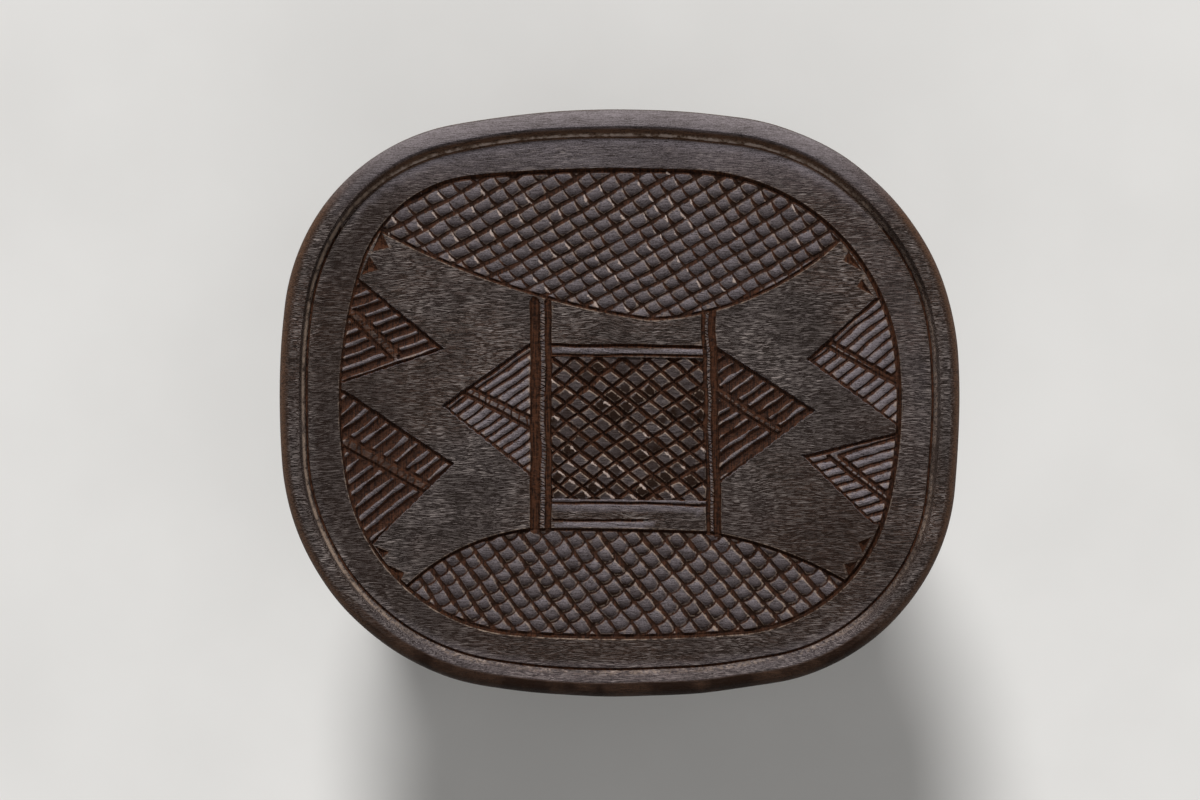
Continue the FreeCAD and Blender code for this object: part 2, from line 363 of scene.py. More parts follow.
@dataclass
class Ring:
    """Stations round an oval, each with the centre and radius of its arc and its outward normal."""

    centres: Places
    radii: Values
    normals: Places

    def at(self, inset: Values | float) -> Places:
        """Stations drawn in by an inset, one for all or one each."""
        return self.centres + (self.radii - inset)[:, None] * self.normals


@dataclass
class Relief:
    """Height of the carved face at a set of places, with what the finish needs there.

    height is above the face level, edge is the distance from the nearest worn edge of a cut and is
    negative inside the cut, panel is 1 on the polished tops of carved panels and brings their painted
    sheen, chip is 1 where an edge has broken out, rub is 1 where an edge is rubbed pale, grime is 1 where
    soot hides the wood or where shade is painted, and hand holds the places as an unsteady hand finds them.
    """

    places: Places
    height: Values
    edge: Values
    panel: Values
    chip: Values
    rub: Values
    grime_and_shade: Values
    hand: Places

    @classmethod
    def plain(cls, places: Places, swell: float) -> "Relief":
        """Uncarved face with a gentle swell.

        Args:
            places: Rows of (x, y).
            swell: Height of the swell.

        Returns:
            The relief to carve.
        """
        height = -0.5 * swell * (1.0 + ripple(places, 0.055, 11))
        none = np.zeros(len(places))
        blank = [none.copy() for _ in range(4)]
        return cls(places, height, none + FAR_FROM_EDGE, *blank, places + unsteady(places))

    def cut(self, off: Values, half: Values | float, depth: Values | float,
            floor: float = 0.0, at: Values | slice = slice(None)) -> None:
        """Sinks a cut.

        Args:
            off: Distance of each place from the middle of the cut.
            half: Half width of the cut.
            depth: Depth of the cut.
            floor: Share of the width that is flat at the bottom.
            at: Numbers of the places, where off has only some of them.
        """
        height = self.height[at]
        sunk = height + (-depth - height) * cut_share(off, half, floor, 0.0)
        self.height[at] = np.minimum(height, sunk)
        self.edge[at] = np.minimum(self.edge[at], off - half)


@dataclass(frozen=True)
class Cuts:
    """Family of nearly parallel cuts, which lie where its phase is a whole number.

    The phase counts cuts across the family from a centre. drift bends it, by the squares of the
    distances across and along the cuts and by their product, because hand-cut lines fan and bow.
    """

    centre: Spot
    angle: float
    pitch: float
    start: float
    width: float
    depth: float
    drift: Triple = (0.0, 0.0, 0.0)
    floor: float = 0.0
    lean: float = 0.0

    def axes(self) -> tuple[Places, Places]:
        """Unit directions along and across the cuts."""
        turn = math.radians(self.angle)
        return np.array([math.cos(turn), math.sin(turn)]), np.array([-math.sin(turn), math.cos(turn)])

    def tally(self, s: Values, t: Values) -> Values:
        """Number of cuts at distances across and along them, whole on a cut."""
        square, skew, bow = self.drift
        return s / self.pitch + self.start + square * s * s + skew * s * t + bow * t * t

    def count(self, hand: Places) -> Values:
        """Number of cuts from the centre to each place, as the hand finds it.

        Args:
            hand: Places with the hand's shift.

        Returns:
            One phase for each place.
        """
        along, across = self.axes()
        off = hand - np.array(self.centre)
        return self.tally(off @ across, off @ along)

    def trace(self, number: Values | float, t: Values) -> Places:
        """Points of one cut.

        Args:
            number: Phase of the cut, one for all points or one each.
            t: Distances along the cut from the centre.

        Returns:
            One place for each distance.
        """
        along, across = self.axes()
        square, skew, _ = self.drift
        s = (number - self.start) * self.pitch + np.zeros(len(t))
        for _ in range(8):
            s = s - (self.tally(s, t) - number) / (1.0 / self.pitch + 2.0 * square * s + skew * t)
        steady = np.array(self.centre) + t[:, None] * along + s[:, None] * across
        places = steady
        for _ in range(3):
            places = steady - unsteady(places)
        return places

    def edges(self, number: int, half: Values, t: Values) -> Lines:
        """Both shoulders of one cut, and the lines at its bottom.

        Args:
            number: Phase of the cut.
            half: Its half width at each distance.
            t: Distances along the cut from the centre.

        Returns:
            The lines, from side to side.
        """
        low, high = -self.floor * (1.0 + self.lean), self.floor * (1.0 - self.lean)
        shares = sorted({-1.0, self.lean + low, self.lean + high, 1.0})
        half = half / self.pitch
        return [self.trace(number + share * half, t) for share in shares]


@dataclass
class Field:
    """Carved field of the seat face inside its incised border."""

    oval: Oval
    border_width: float = 0.0034
    border_depth: float = 0.0029
    rub_width: float = 0.0010
    far_sheen: float = 0.5
    right_polish: float = 0.14
    band_painted_shade: float = 0.40
    ground_grime: float = 0.50
    step: float = 0.0018

    def share_right(self, x: Values) -> Values:
        """How far to the right of the field a place lies, from 0 to 1."""
        return unit(0.5 + 0.5 * x / self.oval.half_width)

    def at(self, u: float, v: float) -> Spot:
        """Place in shares of the field's half width and half depth."""
        return u * self.oval.half_width, v * self.oval.half_depth

    def all_at(self, shares: tuple[Spot, ...]) -> Places:
        """Several such places."""
        return np.array([self.at(u, v) for u, v in shares])

    def half_at(self, places: Places) -> Values:
        """Half width of the border cut, which is finest at the left."""
        left = unit(-2.0 * places[:, 0] / self.oval.half_width - 1.0)
        return 0.5 * self.border_width * (1.0 - 0.45 * left)

    def lines(self) -> Lines:
        """Valley and both shoulders of the border cut, and the limit of its rubbed edge.

        Returns:
            Four closed lines.
        """
        ring = self.oval.ring(self.step)
        half = self.half_at(ring.at(0.0))
        return [closed(ring.at(inset)) for inset in (-half - self.rub_width, -half, 0.0, half)]

    def carve(self, relief: Relief) -> None:
        """Cuts the border, rubs its outer edge, paints sheen on the far band and shade on the rest, and lays
        grime on the field.

        Args:
            relief: The face to carve.
        """
        inset = self.oval.inset(relief.places)
        half = self.half_at(relief.places)
        worn = 1.0 + 0.16 * ripple(relief.places, 0.03, 21)
        relief.cut(np.abs(inset), half, self.border_depth * worn * half / (0.5 * self.border_width))
        u, v = relief.places.T / np.array([[self.oval.half_width], [self.oval.half_depth]])
        share = unit(0.26 - 0.38 * v - 0.22 * u)
        beside = unit(1.0 - np.abs(inset + half) / self.rub_width)
        ragged = unit(0.65 + 1.1 * ripple(relief.places, 0.007, 23))
        relief.rub = np.maximum(relief.rub, share * beside * ragged)
        # The band is painted brighter at the far side, as painted sheen, and darker elsewhere, as painted
        # shade, more so to the left.
        band = inset < -half
        far = unit(5.0 * v - 4.2)
        right = unit(2.0 * u - 1.2) * unit(0.7 + 1.5 * v)
        plain = relief.panel == 0.0
        polish_and_sheen = np.maximum(self.far_sheen * far, self.right_polish * right)
        relief.panel = np.where(band, polish_and_sheen, relief.panel)
        low_right, mid_left = unit(1.12 * (u - v) - 0.55), unit(-2.2 * u - 1.0 - 2.0 * np.abs(v))
        grime_and_shade = np.where(band, self.band_painted_shade * (1.0 - np.maximum(far, right)) * (0.8 - 0.3 * u),
                         self.ground_grime * (low_right + mid_left))
        relief.grime_and_shade = np.where(plain, np.maximum(relief.grime_and_shade, grime_and_shade), relief.grime_and_shade)


@dataclass
class ArcEdge:
    """Curved inner edge of a panel: arcs through three points each, and the cut along them."""

    points: Places
    field: Field
    width: float = 0.0025
    depth: float = 0.0028
    rub: float = 0.4
    wall: float = 0.001

    def circles(self) -> list[tuple[Places, float, Places, Places]]:
        """Centre, radius and both ends of each arc.

        Returns:
            One row for each arc.
        """
        found = []
        for index in range(0, len(self.points) - 2, 2):
            a, b, c = self.points[index:index + 3]
            sides = 2.0 * np.array([b - a, c - a])
            centre = np.linalg.solve(sides, np.array([b @ b - a @ a, c @ c - a @ a]))
            found.append((centre, float(norm(a - centre)), a, c))
        return found

    def gap(self, places: Places) -> Values:
        """Distance of places on the panel's side of the edge, negative on the other side.

        Args:
            places: Rows of (x, y).

        Returns:
            One distance for each place.
        """
        circles = self.circles()
        gap = np.zeros(len(places))
        for index, (centre, radius, first, last) in enumerate(circles):
            low = first[0] if index else -np.inf
            high = last[0] if index < len(circles) - 1 else np.inf
            here = (places[:, 0] >= low) & (places[:, 0] < high)
            gap[here] = radius - norm(places[here] - centre, axis=1)
        return gap

    def inside(self, places: Places) -> Values:
        """Distance of places inside the panel, negative outside it."""
        return np.minimum(self.gap(places), self.field.oval.inset(places))

    def lines(self) -> Lines:
        """Valley and both shoulders of the cut, and the limit of its rubbed edge, inside the field.

        Returns:
            The lines.
        """
        found = []
        for centre, radius, first, last in self.circles():
            start = math.atan2(*(first - centre)[::-1])
            sweep = (math.atan2(*(last - centre)[::-1]) - start + math.pi) % (2.0 * math.pi) - math.pi
            count = max(3, round(abs(sweep) * radius / self.field.step))
            out = headings(start + sweep * np.linspace(0.0, 1.0, count + 1))
            half = 0.5 * self.width
            for shift in (-half, 0.0, half, half + self.field.rub_width):
                line = centre + (radius + shift) * out
                found += kept_runs(line, self.field.oval.inset(line) > 0.0)
        return found

    def carve(self, relief: Relief) -> None:
        """Cuts the edge and rubs its outer shoulder.

        Args:
            relief: The face to carve.
        """
        inside = self.field.oval.inset(relief.places) > 0.0
        gap = self.gap(relief.places)
        worn = 1.0 + 0.15 * ripple(relief.places, 0.025, 31)
        relief.cut(np.where(inside, np.abs(gap), 1.0), 0.5 * self.width, self.depth * worn)
        beside = unit(1.0 - np.abs(gap + 0.5 * self.width) / self.field.rub_width)
        relief.rub = np.maximum(relief.rub, np.where(inside, self.rub * beside, 0.0))


@dataclass
class Facet:
    """Straight-sided panel with steep walls, trimmed to the field."""

    corners: Places
    field: Field
    wall: float = 0.0004

    def inside(self, places: Places) -> Values:
        """Distance of places inside the panel, negative outside it."""
        return np.minimum(half_planes(self.corners, places), self.field.oval.inset(places))

    def loop(self, inset: float) -> Places:
        """Corners of the outline drawn in by an inset.

        Args:
            inset: Distance from the outline.

        Returns:
            The corners in order.
        """
        middle = self.corners.mean(axis=0)
        found = []
        for index, corner in enumerate(self.corners):
            back = self.corners[index - 1] - corner
            on = self.corners[(index + 1) % len(self.corners)] - corner
            back, on = back / norm(back), on / norm(on)
            bisect = back + on
            if norm(bisect) < 1e-6:
                bisect = middle - corner
            bisect = bisect / norm(bisect)
            sine = abs(back[0] * bisect[1] - back[1] * bisect[0])
            found.append(corner + bisect * inset / max(sine, 0.2))
        return np.array(found)

    def lines(self) -> Lines:
        """Upper and lower edge of the walls, and a line on the plain wood beside them.

        Returns:
            The lines.
        """
        found = []
        for inset in (-self.wall, 0.0, self.wall):
            loop = closed(self.loop(inset))
            for a, b in zip(loop, loop[1:]):
                line = straight(a, b, self.field.step)
                found += kept_runs(line, self.field.oval.inset(line) > 0.0)
        return found


@dataclass
class CrossHatch:
    """Panel of cells between continuous main cuts and the shorter cuts across the strips between.

    ragged shifts the cross cuts from strip to strip, at the left and at the right end of the field,
    thin narrows them and main_thin the main cuts likewise, and bow curves each cross cut between its two
    main cuts. chips is the share of broken edges at the left and right, which low_chips raises towards the
    lower side. tone is how polished the tops are, which also brings their painted sheen, rub how pale their
    edges at the main and at the cross cuts, taper how much wider a cross cut is at its upper end, tilt how
    far a cell falls to its lower main and cross cut, grime how much soot is left on the tops, and low shade
    how much shade is painted on the tops towards those lower cuts.
    """

    panel: ArcEdge | Facet
    main: Cuts
    cross: Cuts
    seed: int
    sink: float = 0.0
    crown: float = 0.0008
    uneven: float = 0.0005
    ragged: Spot = (0.0, 0.0)
    thin: Spot = (1.0, 1.0)
    main_thin: Spot = (1.0, 1.0)
    bow: float = 0.0
    chips: Spot = (0.2, 0.2)
    low_chips: float = 0.0
    tone: float = 1.0
    rub: Spot = (0.0, 0.0)
    taper: float = 0.0
    tilt: Spot = (0.0, 0.0)
    grime_and_shade: float = 0.1
    low_painted_shade: Spot = (0.0, 0.0)
    margin: float = 0.0003
    rub_width: float = 0.00048
    chip_width: float = 0.0007

    def gradients(self) -> Values:
        """Cuts per metre along X and Y, of the main and of the cross family."""
        return np.array([self.main.axes()[1] / self.main.pitch, self.cross.axes()[1] / self.cross.pitch])

    def coarse(self, m: Values, c: Values) -> Places:
        """Places of phase pairs, leaving out the drift of both families.

        Args:
            m: Phases of the main cuts.
            c: Phases of the cross cuts.

        Returns:
            Rows of (x, y).
        """
        rows = self.gradients()
        level = rows @ np.array([self.main.centre, self.cross.centre]).T
        wanted = np.stack([m - self.main.start + level[0, 0], c - self.cross.start + level[1, 1]])
        return np.linalg.solve(rows, wanted).T

    def spot(self, m: Values, c: Values) -> Places:
        """Places of phase pairs, by Newton's method from the coarse places.

        Args:
            m: Phases of the main cuts.
            c: Phases of the cross cuts.

        Returns:
            Rows of (x, y).
        """
        inverse = np.linalg.inv(self.gradients())
        places = self.coarse(m, c)
        for _ in range(8):
            hand = places + unsteady(places)
            miss = np.stack([m - self.main.count(hand), c - self.cross.count(hand)])
            places = places + (inverse @ miss).T
        return places

    def share_right(self, strip: Values, number: Values) -> Values:
        """How far to the right of the field a cross cut lies, from 0 to 1."""
        return self.panel.field.share_right(self.coarse(strip + 0.5, number)[:, 0])

    def cross_number(self, strip: Values, number: Values) -> Values:
        """Phase of a cross cut with its raggedness.

        Args:
            strip: Strips of the cuts.
            number: Their numbers.

        Returns:
            Their phases.
        """
        reach = between(self.ragged, self.share_right(strip, number))
        whole = 0.6 * (scatter(self.seed + 1, strip) - 0.5)
        return number + reach * (whole + scatter(self.seed, strip, number) - 0.5)

    def main_half(self, number: Values, places: Places) -> Values:
        """Half width of a main cut, which swells and narrows along it.

        Args:
            number: Numbers of the cuts.
            places: Rows of (x, y).

        Returns:
            Half widths.
        """
        swing = 1.0 + 0.45 * ripple(places, 0.014, self.seed + 6)
        thin = between(self.main_thin, self.panel.field.share_right(places[:, 0]))
        return 0.5 * self.main.width * thin * swing * (0.80 + 0.40 * scatter(self.seed + 2, number))

    def cross_half(self, strip: Values, number: Values) -> Values:
        """Half width of a cross cut."""
        thin = between(self.thin, self.share_right(strip, number))
        return 0.5 * self.cross.width * thin * (0.82 + 0.36 * scatter(self.seed + 3, strip, number))

    def swelling(self, f: Values) -> Values:
        """Width of a cross cut at a share of its strip, against its width in the middle."""
        return 1.0 + self.taper * (2.0 * f - 1.0)

    def reach(self) -> tuple[range, range]:
        """Numbers of the main and of the cross cuts that can meet the panel.

        Returns:
            Both ranges.
        """
        oval = self.panel.field.oval
        x, y = np.meshgrid(np.linspace(-oval.half_width, oval.half_width, 90),
                           np.linspace(-oval.half_depth, oval.half_depth, 80))
        grid = np.stack([x.ravel(), y.ravel()], axis=1)
        grid = grid[self.panel.inside(grid) > 0.0]
        hand = grid + unsteady(grid)
        m, c = self.main.count(hand), self.cross.count(hand)
        return (range(math.floor(m.min()) - 1, math.ceil(m.max()) + 2),
                range(math.floor(c.min()) - 1, math.ceil(c.max()) + 2))

    def main_lines(self, numbers: range) -> Lines:
        """Valleys and shoulders of the main cuts.

        Args:
            numbers: Numbers of the main cuts.

        Returns:
            The lines.
        """
        found = []
        step = self.panel.field.step
        reach = self.panel.field.oval.half_width * 1.3
        t = np.arange(-reach, reach, step)
        for number in numbers:
            half = self.main_half(np.array(number), self.main.trace(number, t))
            for line in self.main.edges(number, half, t):
                found += kept_runs(line, self.panel.inside(line) > self.margin)
        return found

    def cross_lines(self, strips: range, numbers: range) -> Lines:
        """Valleys, shoulders and mitres of the cross cuts.

        Args:
            strips: Numbers of the strips.
            numbers: Numbers of the cross cuts.

        Returns:
            The lines.
        """
        strip, number = [grid.ravel() for grid in np.meshgrid(list(strips), list(numbers))]
        level = self.cross_number(strip, number)
        half = self.cross_half(strip, number) / self.cross.pitch
        low = self.main_half(strip, self.coarse(strip, level)) / self.main.pitch
        high = 1.0 - self.main_half(strip + 1, self.coarse(strip + 1, level)) / self.main.pitch
        lean = self.main.lean
        valley_low, valley_high = low * max(lean, 0.0), 1.0 + (1.0 - high) * min(lean, 0.0)
        found = []

        def add(stops: list[tuple[Values, float]]) -> None:
            """Adds one line of every cross cut, through shares of its strip and of its half width.

            Args:
                stops: Shares of the strip and of the half width.
            """
            rows = []
            for f, side in stops:
                c = level + side * half * self.swelling(f) - self.bow * 4.0 * f * (1.0 - f)
                rows.append(self.spot(strip + f, c))
            for line in np.stack(rows, axis=1):
                found.extend(kept_runs(line, self.panel.inside(line) > self.margin))

        def even(first: Values, last: Values, side: float, points: int) -> list[tuple[Values, float]]:
            """Even stops from share to share of the strip."""
            return [(first + (last - first) * share, side) for share in np.linspace(0.0, 1.0, points)]

        valley = self.cross.lean
        add(even(valley_low, valley_high, valley, 6))
        for side in (-1.0, 1.0):
            add(even(low, high, side, 5))
            add([(low, side), (valley_low, valley)])
            add([(high, side), (valley_high, valley)])
        return found

    def lines(self) -> Lines:
        """All lines of the panel's cuts, and its outline where it has walls."""
        mains, crosses = self.reach()
        return self.panel.lines() + self.main_lines(mains) + self.cross_lines(mains, crosses)

    def carve(self, relief: Relief) -> None:
        """Sinks the panel and cuts its cells.

        Args:
            relief: The face to carve.
        """
        gap = self.panel.inside(relief.places)
        here = gap > 0.0
        places = relief.places[here]
        m = self.main.count(relief.hand[here])
        nearest = np.round(m)
        strip = np.floor(m)
        f = m - strip
        c = self.cross.count(relief.hand[here]) + self.bow * 4.0 * f * (1.0 - f)
        low, low_number = np.full(len(c), -np.inf), np.zeros(len(c))
        high, high_number = np.full(len(c), np.inf), np.zeros(len(c))
        for step in range(-1, 3):
            number = np.floor(c) + step
            level = self.cross_number(strip, number)
            under = (level <= c) & (level > low)
            over = (level > c) & (level < high)
            low, low_number = np.where(under, level, low), np.where(under, number, low_number)
            high, high_number = np.where(over, level, high), np.where(over, number, high_number)
        g = (c - low) / (high - low)
        cross_number = np.where(c - low < high - c, low_number, high_number)
        main_off = (m - nearest) * self.main.pitch
        cross_off = np.where(c - low < high - c, c - low, c - high) * self.cross.pitch
        main_half = self.main_half(nearest, places)
        cross_half = self.cross_half(strip, cross_number) * self.swelling(f)
        walls = unit(gap[here] / self.panel.wall)
        dome = 16.0 * f * (1.0 - f) * g * (1.0 - g)
        uneven = self.uneven * scatter(self.seed + 4, strip, low_number)
        fall = self.crown * (1.0 - dome) + self.tilt[0] * (1.0 - f) ** 2 + self.tilt[1] * (1.0 - g) ** 2
        top = relief.height[here] - walls * (self.sink + fall + uneven)
        main_depth = walls * (self.sink + self.main.depth) * (1.0 + 0.14 * ripple(places, 0.02, self.seed))
        cross_depth = walls * (self.sink + self.cross.depth) * (cross_half / (0.5 * self.cross.width)) ** 0.6
        main_share = cut_share(main_off, main_half, self.main.floor, self.main.lean)
        cross_share = cut_share(cross_off, cross_half, self.cross.floor, self.cross.lean)
        relief.height[here] = np.minimum(top + (-main_depth - top) * main_share,
                                         top + (-cross_depth - top) * cross_share)
        edge = np.minimum(np.abs(main_off) - main_half, np.abs(cross_off) - cross_half)
        relief.edge[here] = np.minimum(relief.edge[here], edge)
        relief.panel[here] = self.tone * (0.75 + 0.25 * scatter(self.seed + 10, strip, low_number))
        # Shade painted on the tops, darker towards the lower main and cross cut of each cell.
        low_painted_shade = self.low_painted_shade[0] * (1.0 - f) ** 3 + self.low_painted_shade[1] * (1.0 - g) ** 3
        smear = self.grime_and_shade * (0.4 + 1.2 * scatter(self.seed + 11, strip, low_number))
        relief.grime_and_shade[here] = low_painted_shade + smear * (edge > -0.01 * MILLIMETRE)
        relief.chip[here] = self.broken(places, strip, cross_number, cross_off + cross_half, f)
        for amount, off, number in ((self.rub[0], main_off + main_half, nearest),
                                    (self.rub[1], cross_off + cross_half, cross_number)):
            share = amount * (0.3 + 0.7 * scatter(self.seed + 9, strip, number))
            relief.rub[here] = np.maximum(relief.rub[here], share * np.exp(-(off / self.rub_width) ** 2))

    def broken(self, places: Places, strip: Values, number: Values, off: Values,
               f: Values) -> Values:
        """Broken edges at the ends of the cells.

        Args:
            places: Rows of (x, y).
            strip: Strip of each place.
            number: Nearest cross cut of each place.
            off: Distance from that cut's shoulder at the cell's far end.
            f: Share of the strip's width.

        Returns:
            1 on a broken edge, falling to 0 around it.
        """
        x = self.panel.field.share_right(places[:, 0])
        y = places[:, 1] / self.panel.field.oval.half_depth
        share = between(self.chips, x) - self.low_chips * (y + x - 0.5)
        draw = scatter(self.seed + 7, strip, number)
        middle = 0.25 + 0.5 * scatter(self.seed + 8, strip, number)
        along = unit(2.0 - np.abs(f - middle) / 0.2)
        return unit(4.0 * (share - draw)) * along * np.exp(-(off / self.chip_width) ** 2)


@dataclass
class Ridges:
    """Panel of ridges that run one way, broken off by a bare strip between two dividing lines."""

    panel: Facet
    cuts: Cuts
    bare: Places
    seed: int
    tone: float = 1.0
    bare_tone: float = 0.5
    bare_sink: float = 0.0008
    sink: float = 0.0005
    crown: float = 0.0007
    uneven: float = 0.0004
    rub_width: float = 0.0025
    bare_edge: Spot = (-0.0003, 0.0002)
    margin: float = 0.0002

    def half(self, number: Values, places: Places) -> Values:
        """Half width of a cut, which swells and narrows along it."""
        swing = 1.0 + 0.35 * ripple(places, 0.014, self.seed + 2)
        return 0.5 * self.cuts.width * swing * (0.84 + 0.32 * scatter(self.seed, number))

    def lines(self) -> Lines:
        """Outline, valleys, shoulders and crests.

        Returns:
            The lines.
        """
        found = self.panel.lines()
        corners = self.panel.corners
        reach = float(norm(corners.max(axis=0) - corners.min(axis=0)))
        t = np.arange(-reach, reach, self.panel.field.step)
        count = math.ceil(reach / self.cuts.pitch)
        for number in range(-count, count + 1):
            half = self.half(np.array(number), self.cuts.trace(number, t))
            for line in [*self.cuts.edges(number, half, t), self.cuts.trace(number + 0.5, t)]:
                walled = self.panel.inside(line) > self.panel.wall + self.margin
                found += kept_runs(line, walled & (half_planes(self.bare, line) < 0.0))
        return found

    def carve(self, relief: Relief) -> None:
        """Sinks the panel and cuts its ridges.

        Args:
            relief: The face to carve.
        """
        gap = self.panel.inside(relief.places)
        here = gap > 0.0
        places = relief.places[here]
        phase = self.cuts.count(relief.hand[here])
        nearest = np.round(phase)
        off = (phase - nearest) * self.cuts.pitch
        half = self.half(nearest, places)
        clear = half_planes(self.bare, places) < 0.0
        walls = unit(gap[here] / self.panel.wall)
        uneven = self.uneven * scatter(self.seed + 1, np.floor(phase))
        middle = 0.5 * self.cuts.pitch
        round_off = np.where(clear, unit((middle - np.abs(off)) / (middle - half)), 0.0)
        lower = np.where(clear, uneven, self.bare_sink)
        top = relief.height[here] - walls * (self.sink + lower + self.crown * round_off ** 2)
        depth = walls * (self.sink + self.cuts.depth) * (1.0 + 0.15 * ripple(places, 0.018, self.seed))
        share = np.where(clear, cut_share(off, half, self.cuts.floor, self.cuts.lean), 0.0)
        relief.height[here] = top + (-depth - top) * share
        edge = np.where(clear, np.minimum(np.abs(off) - half, gap[here] - self.panel.wall),
                        between(self.bare_edge, self.bare_tone))
        relief.edge[here] = np.minimum(relief.edge[here], edge)
        relief.panel[here] = np.where(clear, self.tone, self.bare_tone)
        rub = 0.6 * self.tone * np.exp(-(gap[here] / self.rub_width) ** 2)
        relief.rub[here] = np.where(clear & (share < 0.2), rub, 0.0)


@dataclass
class Stroke:
    """Straight cut that runs out at both ends, or is trimmed to a panel."""

    start: Spot
    end: Spot
    width: float
    depth: float
    floor: float = 0.0
    panel: Facet | None = None
    step: float = 0.0022

    def lines(self) -> Lines:
        """Shoulders and valley, or both edges of a flat floor.

        Returns:
            The lines.
        """
        a, b = np.array(self.start), np.array(self.end)
        side, flat = sideways(b - a), 0.5 * self.floor
        middle = straight(a, b, self.step)
        rows = [middle + side * shift * self.width for shift in sorted({-0.5, -flat, flat, 0.5})]
        rows = [row - unsteady(row) for row in rows]
        if self.panel is None:
            return rows
        return [kept for row in rows for kept in kept_runs(row, self.panel.inside(row) > 0.0)]

    def carve(self, relief: Relief) -> None:
        """Makes the cut.

        Args:
            relief: The face to carve.
        """
        ends = np.array([self.start, self.end])
        low, high = ends.min(axis=0) - self.width, ends.max(axis=0) + self.width
        near = np.flatnonzero(np.all((relief.places > low) & (relief.places < high), axis=1))
        places = relief.hand[near]
        off = along_line(places, self.start, self.end)[1]
        if self.panel is not None:
            off = np.where(self.panel.inside(relief.places[near]) > 0.0, off, 1.0)
        worn = 1.0 + 0.15 * ripple(places, 0.016, 41)
        relief.cut(off, 0.5 * self.width, self.depth * worn, self.floor, near)


@dataclass
class Bead:
    """Rounded and polished strip between two cuts."""

    start: Spot
    end: Spot
    width: float
    crown: float = 0.0007
    tone: float = 1.0
    step: float = 0.0022

    def lines(self) -> Lines:
        """Crest of the strip."""
        return [straight(np.array(self.start), np.array(self.end), self.step)]

    def carve(self, relief: Relief) -> None:
        """Rounds the strip.

        Args:
            relief: The face to carve.
        """
        share, off = along_line(relief.places, self.start, self.end)
        round_off = unit(2.0 * off / self.width)
        inside = (round_off < 1.0) & (share > 0.0) & (share < 1.0)
        relief.height -= np.where(inside, self.crown * round_off ** 2, 0.0)
        relief.panel = np.where(inside, self.tone, relief.panel)


@dataclass
class Pit:
    """Three-sided pit, deepest under its middle."""

    corners: Places
    depth: float = 0.0028

    def lines(self) -> Lines:
        """Sides of the pit and the valleys to its lowest point."""
        middle = self.corners.mean(axis=0)
        return [closed(self.corners)] + [np.array([corner, middle]) for corner in self.corners]

    def carve(self, relief: Relief) -> None:
        """Sinks the pit.

        Args:
            relief: The face to carve.
        """
        gap = half_planes(self.corners, relief.places)
        deepest = float(half_planes(self.corners, self.corners.mean(axis=0)[None])[0])
        here = gap > 0.0
        relief.height[here] = np.minimum(relief.height[here], -self.depth * gap[here] / deepest)
        relief.edge = np.minimum(relief.edge, -gap)


